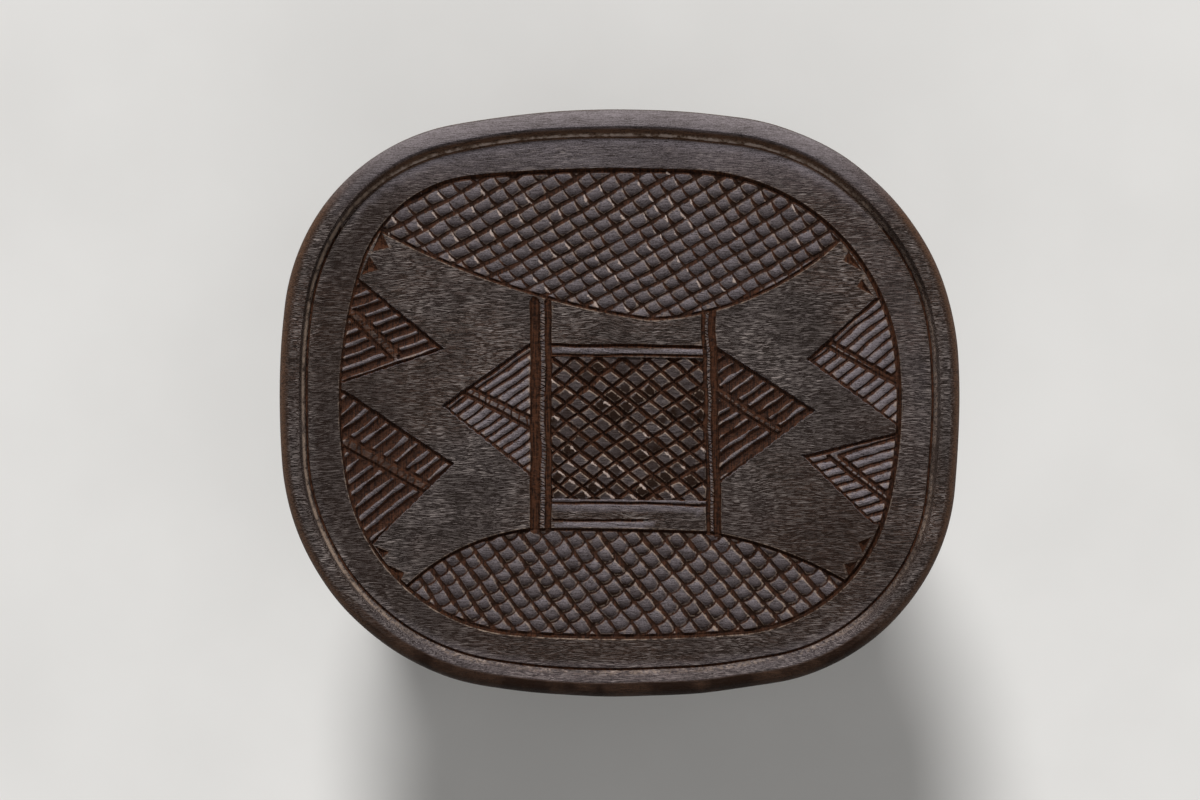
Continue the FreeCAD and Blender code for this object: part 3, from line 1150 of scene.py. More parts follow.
@dataclass
class Pattern:
    """Whole pattern of the seat face, in shares of the field and in sizes of its cuts."""

    field: Field
    panel_cut: Spot = (0.0031, 0.0028)
    cross_cut: Spot = (0.0030, 0.0026)
    scale_cut: Spot = (0.0020, 0.0026)
    panel_lean: float = 0.45
    square_cut: Spot = (0.0033, 0.0027)
    broad_cut: Spot = (0.0025, 0.0024)
    sharp_cut: Spot = (0.0056, 0.0027)
    sharp_floor: float = 0.35
    outline_cut: Spot = (0.0034, 0.0029)
    divider_cut: Spot = (0.0033, 0.0031)
    nick_cut: Spot = (0.0015, 0.0014)
    nick_pitch: float = 0.0042
    rail_depth: float = 0.0022
    rail_floor: float = 0.55
    ridge_crown: float = 0.0006
    ridge_tone: float = 0.55
    ridge_lean: float = 0.3
    thick_line: Spot = (0.0028, 0.0029)
    thin_line: Spot = (0.0022, 0.0022)
    notch_cut: Spot = (0.0010, 0.0014)
    notch_pitch: float = 0.0018

    def upper_panel(self) -> CrossHatch:
        """Panel above the middle: long rising cuts, with ticks across them at the left.

        Returns:
            The panel.
        """
        at = self.field.at
        edge = ((-0.843, 0.739), (-0.4215, 0.519), (0.110, 0.366), (0.470, 0.461), (0.782, 0.702))
        rising = Cuts(at(-0.002, 0.711), 29.33, 0.008393, 0.119, *self.panel_cut, (-105.1, -83.3, -45.4),
                      lean=self.panel_lean)
        falling = Cuts(at(-0.002, 0.711), -49.94, 0.008953, 0.742, *self.cross_cut, (-39.5, 131.0, -42.1))
        return CrossHatch(ArcEdge(self.field.all_at(edge), self.field), rising, falling, 3,
                          crown=0.0017, ragged=(0.42, 0.10), thin=(0.55, 0.75), main_thin=(0.95, 0.78),
                          bow=0.08, chips=(0.72, 0.18), rub=(0.0, 0.5), taper=-0.55,
                          tilt=(0.0010, 0.0003), grime_and_shade=0.10, low_painted_shade=(0.80, 0.35))

    def lower_panel(self) -> CrossHatch:
        """Panel below the middle: long falling cuts with bowed cuts across, like scales.

        Returns:
            The panel.
        """
        at = self.field.at
        edge = ((-0.7605, -0.783), (-0.583, -0.633), (-0.3146, -0.538), (0.0, -0.541), (0.3146, -0.552),
                (0.550, -0.622), (0.800, -0.757))
        rising = Cuts(at(0.027, -0.773), 35.86, 0.009035, 0.090, *self.scale_cut, (9.4, -107.6, -60.0),
                      lean=-self.panel_lean)
        falling = Cuts(at(0.027, -0.773), -51.32, 0.00945, 0.351, *self.cross_cut, (22.1, -93.1, 6.5),
                       lean=self.panel_lean)
        return CrossHatch(ArcEdge(self.field.all_at(edge), self.field), falling, rising, 13,
                          crown=0.0016, ragged=(0.22, 0.22), bow=0.16, chips=(0.15, 0.12), rub=(0.7, 0.1),
                          tilt=(0.0003, 0.0006), grime_and_shade=0.16, low_painted_shade=(0.55, 0.80))

    def square(self) -> CrossHatch:
        """Sunk square of lozenges in the middle.

        Returns:
            The panel.
        """
        at = self.field.at
        corners = ((-0.246, 0.207), (0.300, 0.199), (0.318, -0.416), (-0.246, -0.406))
        rising = Cuts(at(0.0354, -0.1075), 35.47, 0.009321, 0.202, *self.square_cut, (24.0, -165.0, 42.9))
        falling = Cuts(at(0.0354, -0.1075), -39.45, 0.008183, 0.389, *self.square_cut, (-20.9, 44.4, 62.7))
        return CrossHatch(Facet(self.field.all_at(corners), self.field), rising, falling, 23,
                          sink=0.0007, crown=0.0004, ragged=(0.06, 0.06), chips=(0.35, 0.10), low_chips=1.2,
                          tone=0.45, rub=(0.45, 0.75), grime_and_shade=0.74)

    def triangles(self) -> list[Ridges]:
        """Ridged triangles on the rails and on the border, each from its point round by its upper corner.

        Each has its cuts, the ends of its upper and of its lower dividing line, and the polish of its
        ridges and of the strip between those lines.

        Returns:
            The triangles, left of the square first.
        """
        at, flat = self.field.at, self.sharp_floor
        rows = (
            (((-0.638, -0.004), (-0.318, 0.267), (-0.318, -0.310)),
             Cuts(at(-0.4233, -0.0146), 34.8, 0.005269, 0.820, *self.broad_cut, lean=self.ridge_lean),
             ((-0.541, 0.078), (-0.305, -0.064), (-0.305, -0.112), (-0.569, 0.056)), 1.0, 0.5),
            (((0.702, -0.026), (0.347, 0.250), (0.357, -0.340)),
             Cuts(at(0.4704, -0.0380), 34.8, 0.006469, 0.794, *self.sharp_cut, floor=flat),
             ((0.342, 0.080), (0.588, -0.112), (0.556, -0.130), (0.340, 0.046)), 0.8, 0.1),
            (((-0.623, 0.237), (-0.929, 0.538), (-1.1, 0.538), (-1.1, 0.094), (-0.983, 0.094)),
             Cuts(at(-0.8473, 0.2882), 19.2, 0.006284, 0.092, *self.sharp_cut, floor=flat),
             ((-0.945, 0.405), (-0.775, 0.212), (-0.815, 0.192), (-0.990, 0.399)), 0.8, 0.1),
            (((-0.591, -0.254), (-0.980, 0.060), (-1.1, 0.060), (-1.1, -0.606), (-0.889, -0.606)),
             Cuts(at(-0.8192, -0.2633), 37.9, 0.00687, 0.427, *self.sharp_cut, floor=flat),
             ((-0.985, -0.130), (-0.665, -0.352), (-0.705, -0.377), (-0.990, -0.185)), 0.8, 0.1),
            (((0.666, 0.194), (0.911, 0.456), (1.1, 0.456), (1.1, -0.091), (0.990, -0.091)),
             Cuts(at(0.8546, 0.1865), 38.4, 0.005976, 0.263, *self.broad_cut, lean=self.ridge_lean),
             ((0.745, 0.280), (0.990, 0.109), (0.995, 0.085), (0.715, 0.266)), 1.0, 0.6),
            (((0.652, -0.219), (0.983, -0.121), (1.1, -0.121), (1.1, -0.516), (0.907, -0.516)),
             Cuts(at(0.8485, -0.2794), 16.6, 0.005562, 0.080, *self.broad_cut, lean=self.ridge_lean),
             ((0.785, -0.220), (0.970, -0.398), (0.965, -0.430), (0.745, -0.220)), 1.0, 0.6),
        )
        return [Ridges(Facet(self.field.all_at(corners), self.field), cuts, self.field.all_at(bare),
                       50 + 7 * index, tone, bare_tone)
                for index, (corners, cuts, bare, tone, bare_tone) in enumerate(rows)]

    def outlines(self, triangles: list[Ridges]) -> list[Stroke]:
        """Cuts just inside the two free sides of every triangle.

        Args:
            triangles: The triangles.

        Returns:
            The cuts.
        """
        found = []
        width, depth = self.outline_cut
        for triangle in triangles:
            corners = triangle.panel.corners
            middle = corners.mean(axis=0)
            for corner, share in ((corners[1], 1.0), (corners[-1], 0.75)):
                run = corner - corners[0]
                side = sideways(run)
                side *= np.sign(side @ (middle - corners[0])) * 0.32 * width * share
                found.append(Stroke(tuple(corners[0] + side), tuple(corner + side), width * share,
                                    depth * share, panel=triangle.panel))
        return found

    @staticmethod
    def notches(first: Places, last: Places, pitch: float, cut: Spot, seed: int,
                panel: Facet | None = None) -> list[Stroke]:
        """Small uneven cuts across a strip.

        Args:
            first: Both corners at the strip's start.
            last: Both corners at its end.
            pitch: Mean distance from notch to notch.
            cut: Width and depth of a notch.
            seed: Chooses the unevenness.
            panel: Panel that the notches are trimmed to.

        Returns:
            The cuts.
        """
        found = []
        count = int(norm((last - first).mean(axis=0)) / pitch)
        for index in range(1, count):
            share = (index + 0.7 * (scatter(seed, index) - 0.5)) / count
            slant = 0.6 * (scatter(seed + 1, index) - 0.4) / count
            a, b = first + (last - first) * np.array([[share - slant], [share + slant]])
            depth = cut[1] * (0.55 + 0.45 * scatter(seed + 2, index))
            found.append(Stroke(tuple(a), tuple(b), cut[0], depth, panel=panel))
        return found

    def dividers(self, triangles: list[Ridges]) -> list[Stroke]:
        """Dividing lines along both sides of the bare strips and nicks across, trimmed to the triangles.

        Args:
            triangles: The triangles.

        Returns:
            The cuts.
        """
        found = []
        for triangle in triangles:
            bare = triangle.bare
            found += [Stroke(tuple(bare[a]), tuple(bare[b]), *self.divider_cut, panel=triangle.panel)
                      for a, b in ((0, 1), (3, 2))]
            found += self.notches(bare[[0, 3]], bare[[1, 2]], self.nick_pitch, self.nick_cut,
                                  triangle.seed + 3, triangle.panel)
        return found

    def rails(self) -> list[Bead | Stroke]:
        """Notched ridges beside the square, each between two flat-bottomed cuts.

        Returns:
            Ridges and cuts.
        """
        found = []
        for top, bottom, cuts in (
            ((-0.279, 0.440), (-0.279, -0.537), ((-0.0037, 0.0066), (0.0040, 0.0044))),
            ((0.3235, 0.395), (0.3450, -0.558), ((-0.0040, 0.0028), (0.0012, 0.0048))),
        ):
            a, b = np.array(self.field.at(*top)), np.array(self.field.at(*bottom))
            side = sideways(b - a)
            left, right = cuts[0][0] + 0.5 * cuts[0][1], cuts[1][0] - 0.5 * cuts[1][1]
            crest = side * 0.5 * (left + right)
            found.append(Bead(tuple(a + crest), tuple(b + crest), right - left, self.ridge_crown,
                              self.ridge_tone))
            for shift, width in cuts:
                found.append(Stroke(tuple(a + side * shift), tuple(b + side * shift), width,
                                    self.rail_depth, self.rail_floor))
            edges = np.stack([side * left, side * right])
            found += self.notches(a + edges, b + edges, self.notch_pitch, self.notch_cut, 71)
        return found

    def fine_lines(self) -> list[Bead | Stroke]:
        """Polished strips above and below the square, and the lines that set them off.

        Returns:
            Strips and cuts.
        """
        beads = (((-0.250, 0.233), (0.300, 0.224), 0.0034), ((-0.246, -0.409), (0.312, -0.420), 0.0018),
                 ((-0.246, -0.429), (0.312, -0.441), 0.0022), ((-0.230, -0.518), (0.110, -0.514), 0.0034))
        lines = (((-0.255, 0.255), (0.305, 0.244), self.thick_line),
                 ((-0.250, 0.213), (0.302, 0.205), self.thin_line),
                 ((-0.246, -0.419), (0.315, -0.430), self.thin_line),
                 ((-0.230, -0.500), (0.080, -0.498), self.thin_line))
        found = [Bead(self.field.at(*a), self.field.at(*b), width) for a, b, width in beads]
        return found + [Stroke(self.field.at(*a), self.field.at(*b), *cut) for a, b, cut in lines]

    def pits(self) -> list[Pit]:
        """Pairs of pits along the border, counter-clockwise from +X +Y.

        Returns:
            The pits.
        """
        rows = (
            ((0.814, 0.662), (0.794, 0.616), (0.873, 0.565)),
            ((0.862, 0.541), (0.842, 0.506), (0.911, 0.460)),
            ((-0.850, 0.745), (-0.820, 0.670), (-0.885, 0.651)),
            ((-0.894, 0.640), (-0.858, 0.576), (-0.925, 0.551)),
            ((-0.882, -0.604), (-0.822, -0.634), (-0.849, -0.664)),
            ((-0.853, -0.677), (-0.768, -0.723), (-0.786, -0.760)),
            ((0.904, -0.567), (0.853, -0.591), (0.871, -0.645)),
            ((0.855, -0.671), (0.803, -0.684), (0.824, -0.753)),
        )
        return [Pit(self.field.all_at(corners)) for corners in rows]

    def panels(self) -> list[CrossHatch | Ridges]:
        """Carved panels, which may need fine triangles."""
        return [self.upper_panel(), self.lower_panel(), self.square(), *self.triangles()]

    def motifs(self) -> list:
        """Every motif in the order of carving.

        Returns:
            The motifs.
        """
        panels = self.panels()
        edges = [panels[0].panel, panels[1].panel]
        triangles = panels[3:]
        return [*panels, *edges, *self.outlines(triangles), *self.dividers(triangles), *self.fine_lines(),
                *self.rails(), *self.pits(), self.field]


@dataclass(frozen=True)
class Flow:
    """Value that runs through a tree of nodes and can be reckoned with like a number."""

    sheet: "NodeSheet"
    socket: bpy.types.NodeSocket

    def __add__(self, other: "Flow | float") -> "Flow":
        """Sum."""
        return self.sheet.math("ADD", self, other)

    def __sub__(self, other: "Flow | float") -> "Flow":
        """Difference."""
        return self.sheet.math("SUBTRACT", self, other)

    def __rsub__(self, other: float) -> "Flow":
        """Difference from a number."""
        return self.sheet.math("SUBTRACT", other, self)

    def __mul__(self, other: "Flow | float") -> "Flow":
        """Product."""
        return self.sheet.math("MULTIPLY", self, other)

    def __truediv__(self, other: "Flow | float") -> "Flow":
        """Quotient."""
        return self.sheet.math("DIVIDE", self, other)


class NodeSheet:
    """Adds and links the nodes of one tree."""

    def __init__(self, tree: bpy.types.NodeTree) -> None:
        """Keeps the tree."""
        self.tree = tree

    def feed(self, socket: bpy.types.NodeSocket, value: object) -> None:
        """Links a flow to a socket, or sets the socket to a plain value.

        Args:
            socket: Input of a node.
            value: Flow or plain value, or None to leave it.
        """
        if isinstance(value, Flow):
            self.tree.links.new(value.socket, socket)
        elif value is not None:
            socket.default_value = value

    def add(self, kind: str, inputs: dict | None = None, **settings: object) -> bpy.types.Node:
        """New node.

        Args:
            kind: Blender's name of the node type.
            inputs: Values or flows for its sockets, by name or number.
            settings: Properties of the node.

        Returns:
            The node.
        """
        node = self.tree.nodes.new(kind)
        for name, value in settings.items():
            setattr(node, name, value)
        for key, value in (inputs or {}).items():
            self.feed(node.inputs[key], value)
        return node

    def flow(self, kind: str, inputs: dict | None = None, output: int | str = 0, **settings: object) -> Flow:
        """One output of a new node."""
        return Flow(self, self.add(kind, inputs, **settings).outputs[output])

    def math(self, operation: str, *values: object) -> Flow:
        """Result of a Math node."""
        return self.flow("ShaderNodeMath", dict(enumerate(values)), operation=operation)

    def vector(self, operation: str, *values: object) -> Flow:
        """Result of a Vector Math node."""
        return self.flow("ShaderNodeVectorMath", dict(enumerate(values)), operation=operation)

    def joined(self, x: object = None, y: object = None, z: object = None) -> Flow:
        """Vector of three numbers."""
        return self.flow("ShaderNodeCombineXYZ", {0: x, 1: y, 2: z})

    def parts(self, vector: Flow) -> list[Flow]:
        """Three numbers of a vector."""
        return [Flow(self, socket) for socket in self.add("ShaderNodeSeparateXYZ", {0: vector}).outputs]

    def ease(self, value: object, low: float, high: float, first: float = 0.0, last: float = 1.0,
             smooth: bool = True) -> Flow:
        """Value eased from one range to another and kept inside it."""
        return self.flow("ShaderNodeMapRange", {0: value, 1: low, 2: high, 3: first, 4: last},
                         interpolation_type="SMOOTHSTEP" if smooth else "LINEAR")

    def choose(self, share: Flow, first: Flow, second: Flow) -> Flow:
        """Number between two numbers."""
        return self.flow("ShaderNodeMix", {0: share, 2: first, 3: second})

    def mix(self, share: object, first: object, second: object) -> Flow:
        """Colour between two colours."""
        pair = [(*value, 1.0) if isinstance(value, tuple) else value for value in (first, second)]
        return self.flow("ShaderNodeMix", {0: share, 6: pair[0], 7: pair[1]}, 2, data_type="RGBA")

    def place(self) -> Flow:
        """Place on the piece, in its own space."""
        return self.flow("ShaderNodeTexCoord", output="Object")

    def noise(self, place: Flow, scale: float, detail: float = 2.0, rough: float = 0.5) -> Flow:
        """Noise value at a place."""
        values = {"Vector": place, "Scale": scale, "Detail": detail, "Roughness": rough}
        return self.flow("ShaderNodeTexNoise", values)

    def stretched(self, place: Flow, scale: tuple[float, ...]) -> Flow:
        """Place scaled differently along each axis."""
        return self.flow("ShaderNodeMapping", {"Vector": place, "Scale": scale})

    def bump(self, height: Flow, strength: float, distance: float) -> Flow:
        """Normal of a surface with small hollows."""
        return self.flow("ShaderNodeBump", {"Height": height, "Strength": strength, "Distance": distance})

    def dress(self, shader: bpy.types.Node, colour: Flow, rough: Flow | float,
              normal: Flow | None = None) -> None:
        """Gives a Principled shader its colour, roughness and normal."""
        for name, value in (("Base Color", colour), ("Roughness", rough), ("Normal", normal)):
            self.feed(shader.inputs[name], value)


def new_material(name: str) -> tuple[bpy.types.Material, NodeSheet, bpy.types.Node]:
    """Empty material with its sheet and its Principled shader.

    Args:
        name: Name of the material.

    Returns:
        The material, its sheet and its shader.
    """
    material = bpy.data.materials.new(name)
    material.use_nodes = True
    material.node_tree.nodes.clear()
    sheet = NodeSheet(material.node_tree)
    shader = sheet.add("ShaderNodeBsdfPrincipled")
    sheet.add("ShaderNodeOutputMaterial", {"Surface": Flow(sheet, shader.outputs[0])})
    return material, sheet, shader


@dataclass(frozen=True)
class DarkWood:
    """Dark hand-rubbed hardwood with silvery pores along the grain and worn edges on its cuts, with painted
    sheen and painted shade.
    """

    name: str
    grain: GrainAxis
    dark: Colour = (0.0150, 0.0095, 0.0072)
    light: Colour = (0.086, 0.0545, 0.0425)
    silver: Colour = (0.082, 0.066, 0.063)
    tan: Colour = (0.126, 0.067, 0.041)
    deep_soot_and_shade: Colour = (0.0115, 0.0046, 0.0023)
    # The panel colour is a painted sheen on the polished tops.
    panel: Colour = (0.213, 0.184, 0.199)
    # Deepest colour of the cuts: soot, and painted shade where they are deep.
    fresh: Colour = (0.069, 0.0260, 0.0122)
    # Colour of the grime mark, both soot and painted shade.
    smut_and_shade: Colour = (0.0140, 0.0054, 0.0022)
    worn: Colour = (0.31, 0.230, 0.178)
    thread: Colour = (0.29, 0.245, 0.228)
    fleck: Colour = (0.46, 0.365, 0.32)
    pore_length: float = 0.0105
    pore_width: float = 0.00036
    speck_length: float = 0.0009
    thread_length: float = 0.0060
    waves: tuple[Spot, ...] = ((24.0, 0.0090), (120.0, 0.0010))
    specular: float = 0.09

    def waved(self, sheet: NodeSheet, place: Flow) -> Flow:
        """Place with the long and the short waves of the grain.

        Args:
            sheet: Sheet of the material.
            place: Place on the piece.

        Returns:
            The bent place.
        """
        wavy = place
        for scale, reach in self.waves:
            wave = sheet.flow("ShaderNodeTexNoise", {"Vector": place, "Scale": scale, "Detail": 2.0}, 1)
            wave = sheet.vector("SUBTRACT", wave, (0.5, 0.5, 0.5))
            wave = sheet.flow("ShaderNodeVectorMath", {0: wave, 3: reach}, operation="SCALE")
            wavy = sheet.vector("ADD", wavy, wave)
        return wavy

    def fibres(self, sheet: NodeSheet, place: Flow, length: float, width: float, detail: float) -> Flow:
        """Noise drawn out along the grain.

        Args:
            sheet: Sheet of the material.
            place: Place on the piece.
            length: Length of a fibre.
            width: Width of a fibre.
            detail: Detail of the noise.

        Returns:
            The noise.
        """
        scale = [1.0 / width, 1.0 / width, 0.35 / width]
        scale[self.grain.value] = 1.0 / length
        return sheet.noise(sheet.stretched(place, tuple(scale)), 1.0, detail, 0.6)

    def material(self) -> bpy.types.Material:
        """Builds the material from the piece's own places and its carving attributes.

        Returns:
            The finished material.
        """
        material, sheet, shader = new_material(self.name)
        ease, mix = sheet.ease, sheet.mix
        place = sheet.place()
        wavy = self.waved(sheet, place)
        edge, depth, panel, chip, rub, brown, grime_and_shade = [
            sheet.flow("ShaderNodeAttribute", output="Fac", attribute_name=name) for name in MARKS]
        patch = sheet.noise(place, 34.0, 4.0, 0.6)
        cloud = sheet.noise(place, 11.0, 3.0)
        grit = sheet.noise(place, 480.0, 3.0, 0.6)
        streak = self.fibres(sheet, wavy, self.pore_length, self.pore_width, 2.0)
        speck = self.fibres(sheet, wavy, self.speck_length, self.pore_width, 1.0)
        broad = self.fibres(sheet, wavy, 3.0 * self.pore_length, 8.0 * self.pore_width, 3.0)
        thread = self.fibres(sheet, wavy, self.thread_length, 0.65 * self.pore_width, 0.0)

        # Plain wood, then the brown rim and the polished tops, whose pale grey colour is a painted sheen,
        # paler still near their rubbed edges.
        tone = streak * 0.55 + speck * 0.45 + ease(patch, 0.3, 0.7, -0.018, 0.018)
        tone = tone + ease(broad, 0.3, 0.7, -0.022, 0.022)
        light = mix(ease(cloud, 0.40, 0.60), self.light, self.silver)
        colour = mix(ease(tone, 0.455, 0.645), self.dark, light)
        pale = ease(thread, 0.60, 0.66) * ease(patch, 0.35, 0.65, 0.4, 0.9)
        colour = mix(pale, colour, self.thread)
        colour = mix(brown, colour, mix(ease(tone, 0.32, 0.60), self.dark, self.tan))
        polish_and_sheen = mix(ease(tone, 0.29, 0.64), self.dark, self.panel)
        colour = mix(panel, colour, mix(rub * 0.40, polish_and_sheen, self.thread))

        # Inside of the cuts, darker as they deepen, as soot and painted shade, then the grime and painted
        # shade marked on the face.
        sunk = ease(edge, 0.05, -0.45) * ease(depth, 0.1, 0.8)
        scratch = sheet.noise(sheet.stretched(place, (1500.0, 70.0, 400.0)), 1.0)
        lit = ease(grit + scratch, 0.76, 1.20) * ease(depth, 4.0, 1.5, 0.60, 1.0)
        colour = mix(sunk * 0.97, colour, mix(lit, self.deep_soot_and_shade, self.fresh))
        colour = mix(grime_and_shade * ease(patch, 0.3, 0.7, 0.6, 1.4), colour, self.smut_and_shade)

        # Rubbed and broken edges.
        crest = ease(sheet.math("ABSOLUTE", edge - 0.05), 0.45, 0.05)
        crest = crest * ease(patch, 0.36, 0.62, 0.15, 0.75) * ease(grit, 0.40, 0.60)
        colour = mix(crest * 0.55, colour, self.worn)
        arris = ease(rub + grit * 1.2, 0.75, 1.45, 0.0, 0.85)
        arris = arris * ease(sheet.math("ABSOLUTE", edge), 0.55, 0.15)
        colour = mix(arris, colour, self.worn)
        colour = mix(ease(chip + grit * 1.4, 1.15, 1.55) * 0.85, colour, self.fleck)

        rough = ease(speck, 0.3, 0.7, 0.48, 0.62) - panel * 0.08 + sunk * 0.24
        hollow = speck * 0.6 + streak * 0.9 + grit * 0.35
        shader.inputs["Specular IOR Level"].default_value = self.specular
        sheet.dress(shader, colour, rough, sheet.bump(hollow, 0.8, 0.0008))
        return material


@dataclass(frozen=True)
class SplitWood:
    """Pale split wood of the hidden wedges."""

    name: str = "wedge_wood"
    body: Colour = (0.30, 0.19, 0.10)
    vein: Colour = (0.17, 0.095, 0.045)

    def material(self) -> bpy.types.Material:
        """Builds the material.

        Returns:
            The finished material.
        """
        material, sheet, shader = new_material(self.name)
        veins = sheet.noise(sheet.stretched(sheet.place(), (900.0, 900.0, 60.0)), 1.0, 3.0)
        colour = sheet.mix(sheet.ease(veins, 0.4, 0.65), self.body, self.vein)
        sheet.dress(shader, colour, sheet.ease(veins, 0.3, 0.7, 0.6, 0.8), sheet.bump(veins, 0.4, 0.0003))
        return material


@dataclass(frozen=True)
class FloorPaint:
    """Plain pale floor with a faint mottle."""

    name: str = "floor_paint"
    pale: Colour = (0.78, 0.77, 0.75)
    shade: Colour = (0.74, 0.73, 0.71)

    def material(self) -> bpy.types.Material:
        """Builds the material.

        Returns:
            The finished material.
        """
        material, sheet, shader = new_material(self.name)
        mottle = sheet.noise(sheet.place(), 6.0, 4.0)
        sheet.dress(shader, sheet.mix(sheet.ease(mottle, 0.3, 0.7), self.shade, self.pale), 0.85)
        return material


SEAT_WOOD = DarkWood("seat_wood", GrainAxis.ALONG_X)
LEG_WOOD = DarkWood("leg_wood", GrainAxis.ALONG_Z, thread=(0.150, 0.118, 0.104), pore_length=0.020,
                    pore_width=0.0010, speck_length=0.010, thread_length=0.018)


def linked(name: str, data: bpy.types.ID) -> bpy.types.Object:
    """New object in the scene.

    Args:
        name: Name of the object.
        data: Its mesh, light or camera.

    Returns:
        The object.
    """
    made = bpy.data.objects.new(name, data)
    bpy.context.collection.objects.link(made)
    return made


def plain_object(name: str, vertices: Values, faces: list,
                 marks: dict[str, Values]) -> bpy.types.Object:
    """Mesh object at the origin.

    Args:
        name: Name of the object and its mesh.
        vertices: Rows of (x, y, z).
        faces: Vertex numbers of each face.
        marks: Values for each vertex, kept as attributes for the finish.

    Returns:
        The object.
    """
    mesh = bpy.data.meshes.new(name)
    mesh.from_pydata(vertices.tolist(), [], faces)
    for mark, values in marks.items():
        mesh.attributes.new(mark, "FLOAT", "POINT").data.foreach_set("value", values.astype(np.float32))
    mesh.validate()
    return linked(name, mesh)


def shade(mesh: bpy.types.Mesh, angle: float) -> None:
    """Smooth shading that breaks at edges sharper than an angle in degrees."""
    mesh.polygons.foreach_set("use_smooth", np.ones(len(mesh.polygons), dtype=bool))
    mesh.set_sharp_from_angle(angle=math.radians(angle))


@dataclass(frozen=True)
class LegPlan:
    """Where the legs stand and how they join the seat."""

    count: int = 8
    first_angle: float = math.radians(22.5)
    inset: float = 0.046
    splay: float = math.radians(4.0)
    tenon_width: float = 0.026
    tenon_depth: float = 0.018
    tenon_length: float = 0.025
    clearance: float = 0.00015
    end_gap: float = 0.001

    def stations(self, oval: Oval) -> list[tuple[Places, Places]]:
        """Centre on the underside and outward normal of each leg."""
        return [oval.hit(self.inset, self.first_angle + 2.0 * math.pi * index / self.count)
                for index in range(self.count)]


@dataclass(frozen=True)
class RimRow:
    """One row of the rim's profile.

    It has its place, the distance from a worn edge, its depth in the foot groove, the brownness of its
    wood, its rubbed paleness at the far side, partly painted light, and at the flanks, and how far it hangs
    over at the flanks.
    """

    inset: float
    z: float
    edge: float = FAR_FROM_EDGE
    depth: float = 0.0
    brown: float = 0.0
    far_rub_and_light: float = 0.0
    flank_rub: float = 0.0
    overhang: float = 0.0


